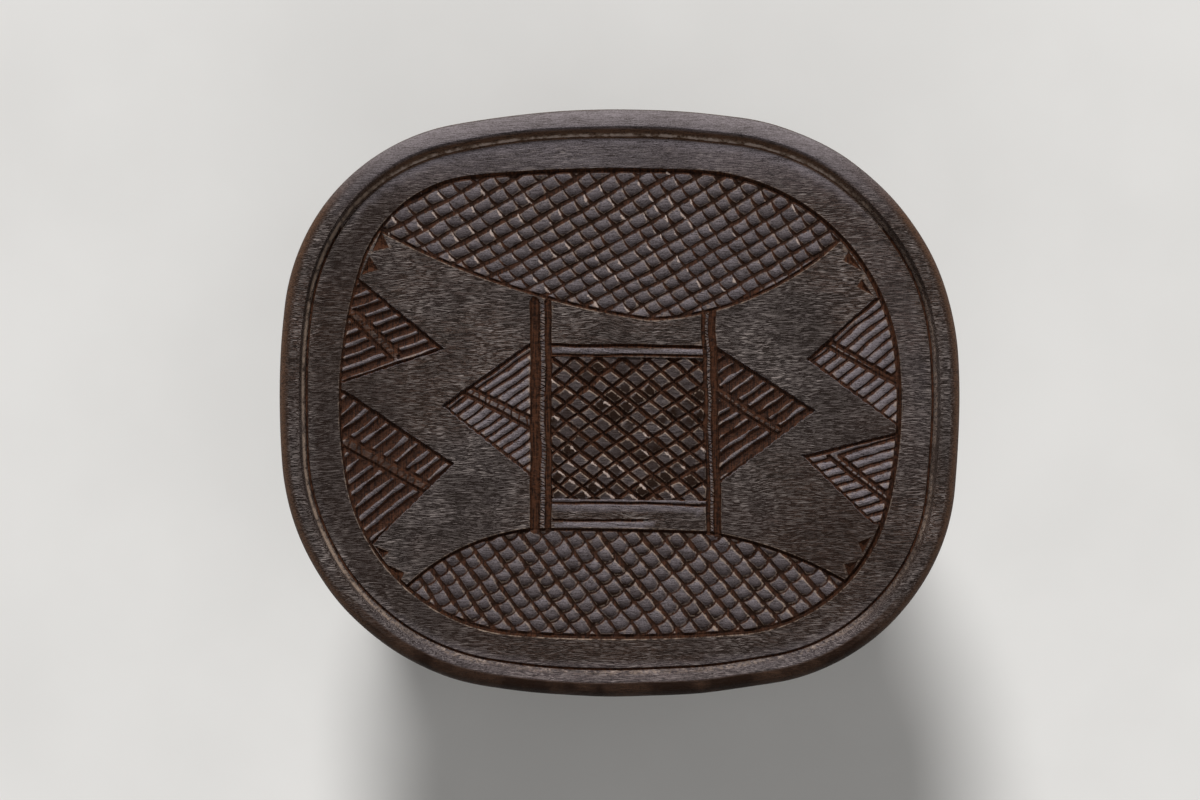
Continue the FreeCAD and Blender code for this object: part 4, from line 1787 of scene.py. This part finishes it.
@dataclass
class Seat:
    """Seat board with its lip, carved face and blind mortises.

    lip_slope has the share of the lip's inner slope, the share of its drop, the distance from its worn
    ledge, the brownness, the rubbed paleness at the far side, partly painted light, and at the flanks, and
    how far it hangs over at the flanks, of each row down to the foot.
    """

    low: Vector
    high: Vector
    legs: LegPlan
    long_radius: float = 0.522
    short_radius: float = 0.523
    corners: tuple[float, ...] = (0.150, 0.121, 0.145, 0.129)
    lip_width: float = 0.016
    lip_crest: float = 0.010
    lip_height: float = 0.007
    crest_radius: float = 0.008
    lower_radius: float = 0.014
    side_bulge: float = 0.0006
    lip_slope: tuple[tuple[float, ...], ...] = (
        (0.0, 0.0, 0.02, 0.1, 0.0, 0.0, 0.0), (0.12, 0.07, 0.02, 0.5, 0.0, 0.0, 0.0017),
        (0.35, 0.27, 0.0007, 1.0, 0.0, 0.5, 0.0012), (0.60, 0.51, 0.0003, 1.0, 0.0, 1.0, 0.0002),
        (0.70, 0.60, 0.0001, 1.0, 0.6, 1.0, 0.0), (0.82, 0.66, 0.0, 1.0, 1.0, 0.8, 0.0),
        (0.93, 0.82, 0.0002, 1.0, 1.0, 0.2, 0.0))
    foot_width: float = 0.0016
    foot_depth: float = 0.0017
    foot_sunk: float = 0.0006
    wear: float = 0.0007
    waver: float = 0.0006
    sag: float = 0.0008
    crest_line: float = 0.0045
    crest_line_width: float = 0.0008
    # Painted highlight on the crest at the far side.
    crest_painted_highlight: float = 0.44
    # Painted shade on the near side outside the lip, on the sides below the crest and on the underside.
    near_painted_shade: float = 0.90
    side_painted_shade: float = 0.55
    near_reach: float = 0.0086
    band_width: float = 0.0203
    field_long_radius: float = 0.900
    field_short_radius: float = 0.262
    field_corners: tuple[float, ...] = (0.123, 0.075, 0.109, 0.095)
    swell: float = 0.0005
    ring_step: float = 0.0026
    fine_step: float = 0.0017
    plain_step: float = 0.0045
    under_step: float = 0.008
    under_margin: float = 0.004
    mouth_margin: float = 0.002
    crease: float = 32.0

    def __post_init__(self) -> None:
        """Draws the outlines from the CAD board's box."""
        half_width, half_depth = self.high.x, self.high.y
        self.oval = Oval(half_width, half_depth, self.long_radius, self.short_radius, self.corners)
        rim = self.lip_width + self.band_width
        self.field = Field(Oval(half_width - rim, half_depth - rim, self.field_long_radius,
                                self.field_short_radius, self.field_corners))
        self.face_level = self.high.z - self.lip_height
        self.ring = self.oval.ring(self.ring_step)

    def rim_rows(self) -> list[RimRow]:
        """Profile from the underside over the lip to the face.

        Returns:
            The rows in order.
        """
        rows = [RimRow(self.lower_radius + self.under_margin, self.low.z, brown=1.0)]
        for share in np.linspace(1.0, 0.0, 7):
            angle = 0.5 * math.pi * share
            rows.append(RimRow(self.lower_radius * (1.0 - math.cos(angle)),
                               self.low.z + self.lower_radius * (1.0 - math.sin(angle)), brown=1.0))
        for share in np.linspace(0.0, 1.0, 5)[1:]:
            side = self.high.z - self.crest_radius - self.low.z - self.lower_radius
            bulge = self.side_bulge * (1.0 - (2.0 * share - 1.0) ** 2)
            height = self.low.z + self.lower_radius + side * share
            rows.append(RimRow(self.side_bulge - bulge, height, brown=1.0))
        for share in np.linspace(0.0, 1.0, 8)[1:]:
            angle = 0.5 * math.pi * share
            rows.append(RimRow(self.side_bulge + self.crest_radius * (1.0 - math.cos(angle)),
                               self.high.z - self.crest_radius * (1.0 - math.sin(angle)),
                               brown=min(1.0, max(0.0, 3.9 - 5.0 * share))))
        slope, drop = self.lip_width - self.lip_crest, self.lip_height + self.foot_depth
        for run, fall, edge, brown, far_rub_and_light, flank_rub, overhang in self.lip_slope:
            rows.append(RimRow(self.lip_crest + slope * run, self.high.z - drop * fall, edge, 0.0, brown,
                               far_rub_and_light, flank_rub, overhang))
        floor = self.face_level - self.foot_depth
        for inset in (self.lip_width, self.lip_width + 0.35 * self.foot_width):
            rows.append(RimRow(inset, floor, -self.foot_sunk, self.foot_depth, 1.0))
        rows.append(RimRow(self.lip_width + self.foot_width, self.face_level, 0.0, flank_rub=0.25))
        rows.append(RimRow(self.lip_width + self.foot_width + MILLIMETRE, self.face_level))
        return rows

    def rim(self) -> tuple[Values, dict[str, Values]]:
        """Vertices of the rim rows, with hand-worn unevenness, and their marks.

        Returns:
            Vertices by row and station, and values for each vertex by mark.
        """
        vertices, marks = [], {name: [] for name in MARKS}
        outline = self.ring.at(0.0)
        far = unit(4.0 * outline[:, 1] / self.high.y - 2.6)
        near = unit(-4.0 * outline[:, 1] / self.high.y - 2.6)
        for row in self.rim_rows():
            inset = row.inset + row.overhang * (1.0 - far) * (1.0 - near)
            loop = self.ring.at(inset)
            lift = (row.z - self.low.z) / (self.high.z - self.low.z)
            worn = 0.5 * (1.0 + ripple(loop + row.z, 0.07, 81))
            drift = ripple(loop, 0.11, 85)
            waver = self.waver * drift * min(1.0, row.inset / self.lip_crest)
            loop = self.ring.at(inset + self.wear * worn + waver)
            heights = row.z + row.depth * far - self.sag * max(0.0, 2.0 * lift - 1.0) * worn
            if row.inset > self.lip_width + 0.5 * self.foot_width:
                heights = row.z + Relief.plain(loop, self.swell).height
            elif row.z <= self.low.z + 1e-6:
                heights = np.full(len(loop), row.z)
            vertices.append(np.column_stack([loop, heights]))
            for name, values in zip(MARKS, self.rim_marks(row, loop, far, near)):
                marks[name].append(values)
        return np.array(vertices), {name: np.concatenate(values) for name, values in marks.items()}

    def rim_marks(self, row: RimRow, loop: Places, far: Values, near: Values) -> tuple[Values, ...]:
        """Marks of one rim row, which differ from side to side.

        The far side, at +Y, has a painted highlight and sheen on its crest outside and no groove at its foot.
        The near side has painted shade outside and a painted sheen inside. Between them the outside is brown,
        up to a dark line on the crest.

        Args:
            row: The row.
            loop: Its places.
            far: Share of the far side at each place.
            near: Share of the near side.

        Returns:
            One array for each of MARKS.
        """
        u = loop[:, 0] / self.high.x
        flank = (1.0 - far) * (1.0 - near)
        none = np.zeros(len(loop))
        edge = none + row.edge + FAR_FROM_EDGE * far * (row.depth > 0.0)
        spots = np.clip(0.75 + 0.9 * ripple(loop, 0.009, 87), 0.35, 1.0)
        rub = spots * (row.far_rub_and_light * far + row.flank_rub * flank * unit(0.60 - 0.45 * u))
        if row.inset < self.lip_crest:
            # On the far side the crest is painted pale and grey, a painted highlight where it faces the
            # light.
            crown = far * min(1.0, max(0.0, 2.5 - 2.5 * (self.high.z - row.z) / self.crest_radius))
            rub = self.crest_painted_highlight * crown
            brown = row.brown * (1.0 - crown)
            on_line = math.exp(-((row.inset - self.crest_line) / self.crest_line_width) ** 2)
            # The near side outside and the sides below the crest are darkened as painted shade.
            grime_and_shade = 0.85 * on_line * flank + self.near_painted_shade * near * (row.inset < self.near_reach)
            brown = np.maximum(brown, near * (row.inset < self.near_reach))
            if row.z < self.high.z - 0.9 * self.crest_radius:
                grime_and_shade = np.maximum(grime_and_shade, self.side_painted_shade)
            panel = crown
        else:
            # Inside the lip, the far side and the near slope get the panel colour's painted sheen.
            brown = row.brown * (1.0 - near) * (0.15 + 0.85 * far)
            grime_and_shade = none
            panel = ((1.0 - row.brown) * far + 0.30 * near) * (row.depth == 0.0)
        # The far ledge is painted pale, partly as rubbed wear and partly as painted light where the lip
        # shades it.
        chip = row.far_rub_and_light * spots * (0.95 * far + 0.50 * near)
        return edge, none + row.depth * (1.0 - far), panel, chip, rub, brown, grime_and_shade

    def fillers(self, pattern: Pattern, lines: Lines, inner: float) -> Places:
        """Points between the lines of the carving, close in the panels and wide on plain wood.

        Args:
            pattern: The carving.
            lines: Its lines, which the points keep away from.
            inner: Inset of the face's outer loop.

        Returns:
            The points.
        """
        panels = pattern.panels()
        taken = np.vstack(lines)
        found = []
        for step, carved in ((self.fine_step, True), (self.plain_step, False)):
            columns = np.arange(self.low.x, self.high.x, step)
            rows = np.arange(self.low.y, self.high.y, step * 0.866)
            x, y = np.meshgrid(columns, rows)
            x = x + 0.5 * step * (np.arange(len(rows)) % 2)[:, None]
            grid = np.stack([x.ravel(), y.ravel()], axis=1)
            number = np.arange(len(grid))
            grid += 0.25 * step * (np.stack([scatter(91, number), scatter(92, number)], axis=1) - 0.5)
            inside = np.max([motif.panel.inside(grid) for motif in panels], axis=0)
            keep = (inside > 0.0) if carved else (inside <= 0.0)
            grid = grid[keep & (self.oval.inset(grid) > inner + 0.5 * step)]
            cell = 0.45 * step
            used = np.unique(self.cell_keys(taken, cell))
            near = np.zeros(len(grid), dtype=bool)
            for shift_x in (-0.5, 0.5):
                for shift_y in (-0.5, 0.5):
                    near |= np.isin(self.cell_keys(grid + np.array([shift_x, shift_y]) * cell, cell), used)
            found.append(grid[~near])
        return np.vstack(found)

    @staticmethod
    def cell_keys(places: Places, cell: float) -> Values:
        """One whole number for the square cell that each place lies in."""
        index = np.floor(places / cell).astype(np.int64)
        return index[:, 0] * 1000003 + index[:, 1]

    @staticmethod
    def triangulate(points: Places, edges: list[tuple[int, int]]) -> tuple[Places, list, list]:
        """Triangles over points that keep all edges.

        Args:
            points: Rows of (x, y).
            edges: Pairs of point numbers.

        Returns:
            The final points, the triangles turned upwards, and the input points of each final point.
        """
        inside_only = 1
        result = delaunay_2d_cdt([Vector(point) for point in points.tolist()], edges, [], inside_only, 1e-7)
        places = np.array([tuple(point) for point in result[0]])
        triangles = []
        for face in result[2]:
            a, b, c = places[face[0]], places[face[1]], places[face[2]]
            turn = (b[0] - a[0]) * (c[1] - a[1]) - (b[1] - a[1]) * (c[0] - a[0])
            triangles.append(list(face) if turn > 0.0 else list(face)[::-1])
        return places, triangles, result[3]

    def face_mesh(self, loop: Places, inner: float) -> tuple[Relief, list, list]:
        """Carved face inside a loop.

        Args:
            loop: Innermost loop of the rim.
            inner: Its inset.

        Returns:
            The relief at the face's points, its triangles, and the input points of each point.
        """
        pattern = Pattern(self.field)
        motifs = pattern.motifs()
        lines = [line for motif in motifs for line in motif.lines()]
        points = [loop]
        count = len(loop)
        edges = loop_edges(0, count)
        for line in lines:
            points.append(line)
            edges += [(count + index, count + index + 1) for index in range(len(line) - 1)]
            count += len(line)
        points.append(self.fillers(pattern, lines, inner))
        places, triangles, sources = self.triangulate(np.vstack(points), edges)
        relief = Relief.plain(places, self.swell)
        for motif in motifs:
            motif.carve(relief)
        log.info("carved face: %d motifs, %d points, %d triangles", len(motifs), len(places), len(triangles))
        return relief, triangles, sources

    def underside(self, loop: Places) -> tuple[Values, list, list]:
        """Flat underside with the leaning mortises.

        Args:
            loop: Outermost loop of the underside, on the rim.

        Returns:
            Vertices, faces turned downwards, and the input points of each vertex.
        """
        plan = self.legs
        count = len(loop)
        points, edges = [loop], loop_edges(0, count)
        mouths = []
        for point, normal in plan.stations(self.oval):
            side = np.array([normal[1], -normal[0]])
            width = 0.5 * plan.tenon_width + plan.clearance
            depth = (0.5 * plan.tenon_depth + plan.clearance) / math.cos(plan.splay)
            mouth = np.array([point + side * width * a + normal * depth * b
                              for a, b in ((1, 1), (-1, 1), (-1, -1), (1, -1))])
            points.append(mouth)
            edges += loop_edges(count, 4)
            mouths.append((mouth, normal, count))
            count += 4
        spread = [np.arange(low, high, self.under_step) for low, high in zip(self.low[:2], self.high[:2])]
        grid = np.stack(np.meshgrid(*spread), axis=-1).reshape(-1, 2)
        keep = self.oval.inset(grid) > self.lower_radius + self.under_step
        for mouth, _, _ in mouths:
            keep &= half_planes(mouth, grid) < -self.mouth_margin
        points.append(grid[keep])
        places, triangles, sources = self.triangulate(np.vstack(points), edges)
        index_of = {source: index for index, group in enumerate(sources) for source in group}
        vertices = [np.column_stack([places, np.full(len(places), self.low.z)])]
        middles = np.array([places[face].mean(axis=0) for face in triangles])
        open_face = np.max([half_planes(mouth, middles) for mouth, _, _ in mouths], axis=0) > 0.0
        faces = [face[::-1] for face, is_open in zip(triangles, open_face) if not is_open]
        rise = plan.tenon_length + plan.end_gap
        total = len(places)
        for mouth, normal, first in mouths:
            shift = np.append(-normal * math.sin(plan.splay), math.cos(plan.splay)) * rise
            corners = [index_of[first + index] for index in range(4)]
            vertices.append(np.column_stack([mouth, np.full(4, self.low.z)]) + shift)
            for index, after in loop_edges(0, 4):
                faces.append([corners[after], corners[index], total + index, total + after])
            faces.append([total + index for index in (3, 2, 1, 0)])
            total += 4
        return np.vstack(vertices), faces, sources

    def build(self) -> bpy.types.Object:
        """Joins rim, face and underside to one closed mesh.

        Returns:
            The seat.
        """
        rim, rim_marks = self.rim()
        row_count, size = rim.shape[:2]
        inner = self.rim_rows()[-1].inset
        relief, triangles, sources = self.face_mesh(rim[-1, :, :2], inner)
        under, under_faces, under_sources = self.underside(rim[0, :, :2])
        none = np.zeros(max(len(relief.places), len(under)))
        carved = np.column_stack([relief.places, self.face_level + relief.height])
        face_marks = (relief.edge, -relief.height, relief.panel, relief.chip, relief.rub, none, relief.grime_and_shade)
        # The underside is brown and darkened as painted shade.
        under_marks = (none + FAR_FROM_EDGE, none, none, none, none, none + 1.0, none + self.side_painted_shade)
        vertices = [rim.reshape(-1, 3)]
        marks = {name: [values] for name, values in rim_marks.items()}
        faces = []
        for row in range(row_count - 1):
            faces += [[index, after, after + size, index + size]
                      for index, after in loop_edges(row * size, size)]
        total = row_count * size
        for points, patch_marks, patch_faces, patch_sources, base in (
            (carved, face_marks, triangles, sources, total - size),
            (under, under_marks, under_faces, under_sources, 0),
        ):
            new_index = np.zeros(len(points), dtype=int)
            fresh = []
            for index in range(len(points)):
                group = patch_sources[index] if index < len(patch_sources) else []
                on_loop = [source for source in group if source < size]
                if on_loop:
                    new_index[index] = base + on_loop[0]
                else:
                    new_index[index] = total + len(fresh)
                    fresh.append(index)
            total += len(fresh)
            vertices.append(points[fresh])
            for name, values in zip(MARKS, patch_marks):
                marks[name].append(values[fresh])
            faces += [new_index[face].tolist() for face in patch_faces]
        joined = {name: np.concatenate(values) for name, values in marks.items()}
        for name in ("cut_edge", "cut_depth"):
            joined[name] = joined[name] / MILLIMETRE
        piece = plain_object("carved_seat", np.vstack(vertices), faces, joined)
        shade(piece.data, self.crease)
        return piece

    def dress(self, piece: bpy.types.Object) -> None:
        """Gives the seat its wood and its place in the frame.

        Args:
            piece: The seat.
        """
        piece.data.materials.append(SEAT_WOOD.material())
        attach(piece, ROOT)
        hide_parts("seat")


@dataclass
class LegSet:
    """Eight hewn legs with a waist, a collar and a spreading foot, from one tree of nodes."""

    seat: Seat
    top: Spot = (0.046, 0.036)
    waist: Spot = (0.030, 0.026)
    foot: Spot = (0.042, 0.036)
    collar: Spot = (0.039, 0.034)
    chamfer: float = 0.006
    top_block: float = 0.016
    foot_block: float = 0.007
    collar_drop: float = 0.096
    collar_height: float = 0.019
    collar_slope: float = 0.004
    hewn: float = 0.0008
    arris: float = 0.0012
    sides: int = 80
    body_rows: int = 90
    tenon_rows: int = 4
    crease: float = 38.0

    def inputs(self) -> dict[str, object]:
        """Sizes that all legs share, by the names of the tree's inputs.

        Returns:
            Values by name.
        """
        plan = self.seat.legs
        return {
            "Length": self.seat.low.z,
            "Lean": plan.splay,
            "Top": (*self.top, self.top_block),
            "Waist": (*self.waist, 0.0),
            "Foot": (*self.foot, self.foot_block),
            "Collar": (*self.collar, 0.0),
            "Collar Drop": self.collar_drop,
            "Collar Height": self.collar_height,
            "Collar Slope": self.collar_slope,
            "Chamfer": self.chamfer,
            "Hewn": self.hewn,
            "Tenon": (plan.tenon_width, plan.tenon_depth, plan.tenon_length),
        }

    def tree(self) -> bpy.types.NodeTree:
        """Tree that shapes one leg from a cylinder and sets it in its place.

        Returns:
            The tree, with its sizes as named inputs.
        """
        tree = bpy.data.node_groups.new("hewn_leg", "GeometryNodeTree")
        kinds = {name: "Vector" if isinstance(size, tuple) else "Float"
                 for name, size in self.inputs().items()}
        kinds |= {"Turn": "Float", "Place": "Vector", "Seed": "Float", "Wood": "Material"}
        for name, kind in kinds.items():
            tree.interface.new_socket(name, in_out="INPUT", socket_type="NodeSocket" + kind)
        tree.interface.new_socket("Geometry", in_out="OUTPUT", socket_type="NodeSocketGeometry")
        sheet = NodeSheet(tree)
        given = {socket.name: Flow(sheet, socket) for socket in sheet.add("NodeGroupInput").outputs}
        top, waist, foot, collar, tenon = [
            sheet.parts(given[name]) for name in ("Top", "Waist", "Foot", "Collar", "Tenon")]
        length, high = given["Length"], given["Collar Drop"]

        # Rows of a blank cylinder, for the body and above it for the tenon.
        rows = self.body_rows + self.tenon_rows
        sizes = {"Vertices": self.sides, "Side Segments": rows, "Radius": 1.0, "Depth": 1.0}
        blank = sheet.flow("GeometryNodeMeshCylinder", sizes, "Mesh")
        spot = sheet.parts(sheet.flow("GeometryNodeInputPosition"))
        row = (spot[2] + 0.5) * float(rows)
        z = sheet.math("MINIMUM", row, float(self.body_rows)) * (1.0 / self.body_rows) * length
        drop = length - z
        on_tenon = sheet.math("GREATER_THAN", row, self.body_rows + 0.5)
        z = z + sheet.ease(row, self.body_rows + 1.0, float(rows), smooth=False) * tenon[2]

        def flare(share: Flow) -> Flow:
            """Widening that dies out on the way from an end to the waist."""
            return sheet.math("POWER", 1.0 - sheet.ease(share, 0.0, 1.0, smooth=False), 2.0)

        low = high + given["Collar Height"]
        neck = flare((drop - top[2]) / (high - top[2]))
        ankle = flare((length - drop - foot[2]) / (length - low - foot[2]))
        inside = sheet.math("MINIMUM", drop - high, low - drop)
        band = sheet.ease(inside / given["Collar Slope"], 0.0, 1.0, smooth=False)

        def half_size(axis: int) -> Flow:
            """Half width or half depth of the section, or of the tenon above the seat's underside.

            Args:
                axis: 0 for the width, 1 for the depth.

            Returns:
                Half the size.
            """
            size = waist[axis]
            for share, wide in ((neck, top), (ankle, foot), (band, collar)):
                size = size + share * (wide[axis] - waist[axis])
            return sheet.choose(on_tenon, size, tenon[axis]) * 0.5

        # Section with cut corners, roughened by the adze.
        half_x, half_y = half_size(0), half_size(1)
        angle = sheet.math("ARCTAN2", spot[1], spot[0])
        cosine, sine = sheet.math("COSINE", angle), sheet.math("SINE", angle)
        flat_x, flat_y = [sheet.math("MAXIMUM", sheet.math("ABSOLUTE", side), 0.0001)
                          for side in (cosine, sine)]
        wall = sheet.math("MINIMUM", half_x / flat_x, half_y / flat_y)
        cut = (half_x + half_y - given["Chamfer"]) / (flat_x + flat_y)
        seed = sheet.joined(z=given["Seed"] * 7.31)
        around = sheet.vector("ADD", sheet.joined(cosine, sine, z * 22.0), seed)
        facets = sheet.flow("ShaderNodeTexVoronoi", {"Vector": around, "Scale": 2.6})
        tool = facets * 0.8 + sheet.noise(around, 1.1) * 0.9
        body = sheet.math("SMOOTH_MIN", wall, cut, self.arris) - given["Hewn"] * sheet.ease(tool, 0.2, 1.3)
        reach = sheet.choose(on_tenon, body, wall)
        slant = (length - z) * sheet.math("TANGENT", given["Lean"])
        shaped = sheet.joined(reach * cosine, reach * sine + slant, z)

        # Marks for the finish, and the leg's place in the ring.
        edge = sheet.math("ABSOLUTE", wall - cut) * (0.6 / MILLIMETRE)
        edge = edge + on_tenon * (FAR_FROM_EDGE / MILLIMETRE)
        marked = blank
        for name, value in (("cut_edge", edge), ("cut_depth", 0.0), ("panel", 0.0), ("chip", 0.0)):
            values = {"Geometry": marked, "Name": name, "Value": value}
            marked = sheet.flow("GeometryNodeStoreNamedAttribute", values, data_type="FLOAT", domain="POINT")
        leg = sheet.flow("GeometryNodeSetPosition", {"Geometry": marked, "Position": shaped})
        stand = sheet.flow("GeometryNodePoints", {"Count": 1, "Position": given["Place"]})
        turn = sheet.flow("FunctionNodeEulerToRotation", {0: sheet.joined(z=given["Turn"])})
        stood = sheet.flow("GeometryNodeInstanceOnPoints",
                           {"Points": stand, "Instance": leg, "Rotation": turn})
        real = sheet.flow("GeometryNodeRealizeInstances", {0: stood})
        wooden = sheet.flow("GeometryNodeSetMaterial", {"Geometry": real, "Material": given["Wood"]})
        sheet.add("NodeGroupOutput", {0: wooden})
        return tree

    def build(self) -> list[bpy.types.Object]:
        """Makes each leg as a plain mesh.

        Returns:
            The legs in order.
        """
        tree = self.tree()
        wood = LEG_WOOD.material()
        keys = {item.name: item.identifier for item in tree.interface.items_tree if item.in_out == "INPUT"}
        legs = []
        for number, (point, normal) in enumerate(self.seat.legs.stations(self.seat.oval), start=1):
            values = self.inputs() | {
                "Turn": math.atan2(normal[1], normal[0]) - 0.5 * math.pi,
                "Place": (point[0], point[1], 0.0),
                "Seed": float(number),
                "Wood": wood,
            }
            name = "hewn_leg_%d" % number
            maker = linked(name + "_maker", bpy.data.meshes.new(name + "_maker"))
            modifier = maker.modifiers.new("leg", "NODES")
            modifier.node_group = tree
            for label, value in values.items():
                modifier[keys[label]] = value
            graph = bpy.context.evaluated_depsgraph_get()
            mesh = bpy.data.meshes.new_from_object(maker.evaluated_get(graph))
            bpy.data.objects.remove(maker)
            mesh.name = name
            shade(mesh, self.crease)
            legs.append(linked(name, mesh))
        return legs

    def dress(self, legs: list[bpy.types.Object]) -> None:
        """Gives the legs their places in the frame.

        Args:
            legs: The legs in order.
        """
        for number, leg in enumerate(legs, start=1):
            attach(leg, ROOT)
            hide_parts("leg_%d" % number)


@dataclass
class Wedges:
    """Hidden wedges, kept from the frame."""

    count: int

    def dress(self) -> None:
        """Gives every wedge its split wood."""
        wood = SplitWood().material()
        for number in range(1, self.count + 1):
            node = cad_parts["tenon_wedge_%d" % number]
            if not node.material_slots:
                node.data.materials.append(wood)
            for slot in node.material_slots:
                slot.material = wood


@dataclass
class Studio:
    """Pale floor, soft light from the far side of the seat, and the camera above it."""

    seat: Seat
    image_width: int = 1200
    image_height: int = 800
    seat_pixels: float = 679.0
    seat_middle: Spot = (619.5, 402.0)
    distance: float = 2.0
    tilt: float = math.radians(3.0)
    floor_size: float = 8.0
    sky: Colour = (1.0, 0.99, 0.98)
    sky_strength: float = 0.20
    key_strength: float = 3.25
    key_spread: float = math.radians(14.0)
    key_place: Triple = (-0.25, 1.85, 1.80)
    top_power: float = 7.0
    top_size: float = 1.4
    top_place: Triple = (0.2, -0.4, 2.2)
    lamp_colour: Colour = (1.0, 1.0, 1.0)

    def floor(self) -> None:
        """Lays the floor under the feet."""
        half = 0.5 * self.floor_size
        corners = np.array([(-half, -half, 0.0), (half, -half, 0.0), (half, half, 0.0), (-half, half, 0.0)])
        floor = plain_object("floor", corners, [[0, 1, 2, 3]], {})
        floor.data.materials.append(FloorPaint().material())

    def lamp(self, name: str, kind: str, place: Triple, power: float) -> bpy.types.Light:
        """Lamp turned to the seat.

        Args:
            name: Name of the lamp.
            kind: Blender's name of the lamp type.
            place: Where it stands.
            power: Its energy.

        Returns:
            The light, to set its softness on.
        """
        light = bpy.data.lights.new(name, kind)
        light.energy = power
        light.color = self.lamp_colour
        lamp = linked(name, light)
        lamp.location = place
        aim = Vector((0.0, 0.0, self.seat.high.z)) - lamp.location
        lamp.rotation_euler = aim.to_track_quat("-Z", "Y").to_euler()
        return light

    def light(self) -> None:
        """Even sky, a broad far key light from beyond the seat and a soft lamp overhead."""
        world = bpy.data.worlds.new("sky")
        world.use_nodes = True
        world.node_tree.nodes["Background"].inputs[0].default_value = (*self.sky, 1.0)
        world.node_tree.nodes["Background"].inputs[1].default_value = self.sky_strength
        bpy.context.scene.world = world
        self.lamp("key_light", "SUN", self.key_place, self.key_strength).angle = self.key_spread
        self.lamp("top_lamp", "AREA", self.top_place, self.top_power).size = self.top_size
        bpy.context.scene.view_settings.view_transform = "Standard"

    def camera(self) -> None:
        """Looks down on the seat so that its outline lies where the photograph has it."""
        scale = 2.0 * self.seat.high.x / self.seat_pixels
        back = Vector((0.0, math.sin(self.tilt), math.cos(self.tilt)))
        upward = Vector((0.0, math.cos(self.tilt), -math.sin(self.tilt)))
        widest = 0.5 * (self.seat.low.z + self.seat.lower_radius + self.seat.high.z - self.seat.crest_radius)
        heights = []
        for y in (self.seat.low.y, self.seat.high.y):
            spot = Vector((0.0, y, 0.0))
            heights.append(spot.dot(upward) * self.distance / (self.distance - spot.dot(back)))
        right = (self.seat_middle[0] - 0.5 * self.image_width) * scale
        down = (self.seat_middle[1] - 0.5 * self.image_height) * scale
        target = Vector((-right, 0.0, widest)) + upward * (down + 0.5 * sum(heights))
        data = bpy.data.cameras.new("camera")
        data.lens = data.sensor_width * self.distance / (self.image_width * scale)
        camera = linked("camera", data)
        camera.location = target + back * self.distance
        camera.rotation_euler = (-self.tilt, 0.0, 0.0)
        bpy.context.scene.camera = camera


def write_sizes() -> None:
    """Brings the view layer up to date."""
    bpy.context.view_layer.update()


def main() -> None:
    """Builds and dresses the stool piece by piece, then the studio."""
    logging.basicConfig(level=logging.INFO, format="%(name)s: %(message)s")
    seat = Seat(*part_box("seat"), LegPlan())
    board = seat.build()
    seat.dress(board)
    log.info("seat: %d faces", len(board.data.polygons))
    leg_set = LegSet(seat)
    legs = leg_set.build()
    leg_set.dress(legs)
    log.info("legs: %d, %d faces each", len(legs), len(legs[0].data.polygons))
    Wedges(len(legs)).dress()
    log.info("wedges: %d dressed", len(legs))
    studio = Studio(seat)
    studio.floor()
    studio.light()
    studio.camera()
    write_sizes()


if __name__ == "__main__":
    main()
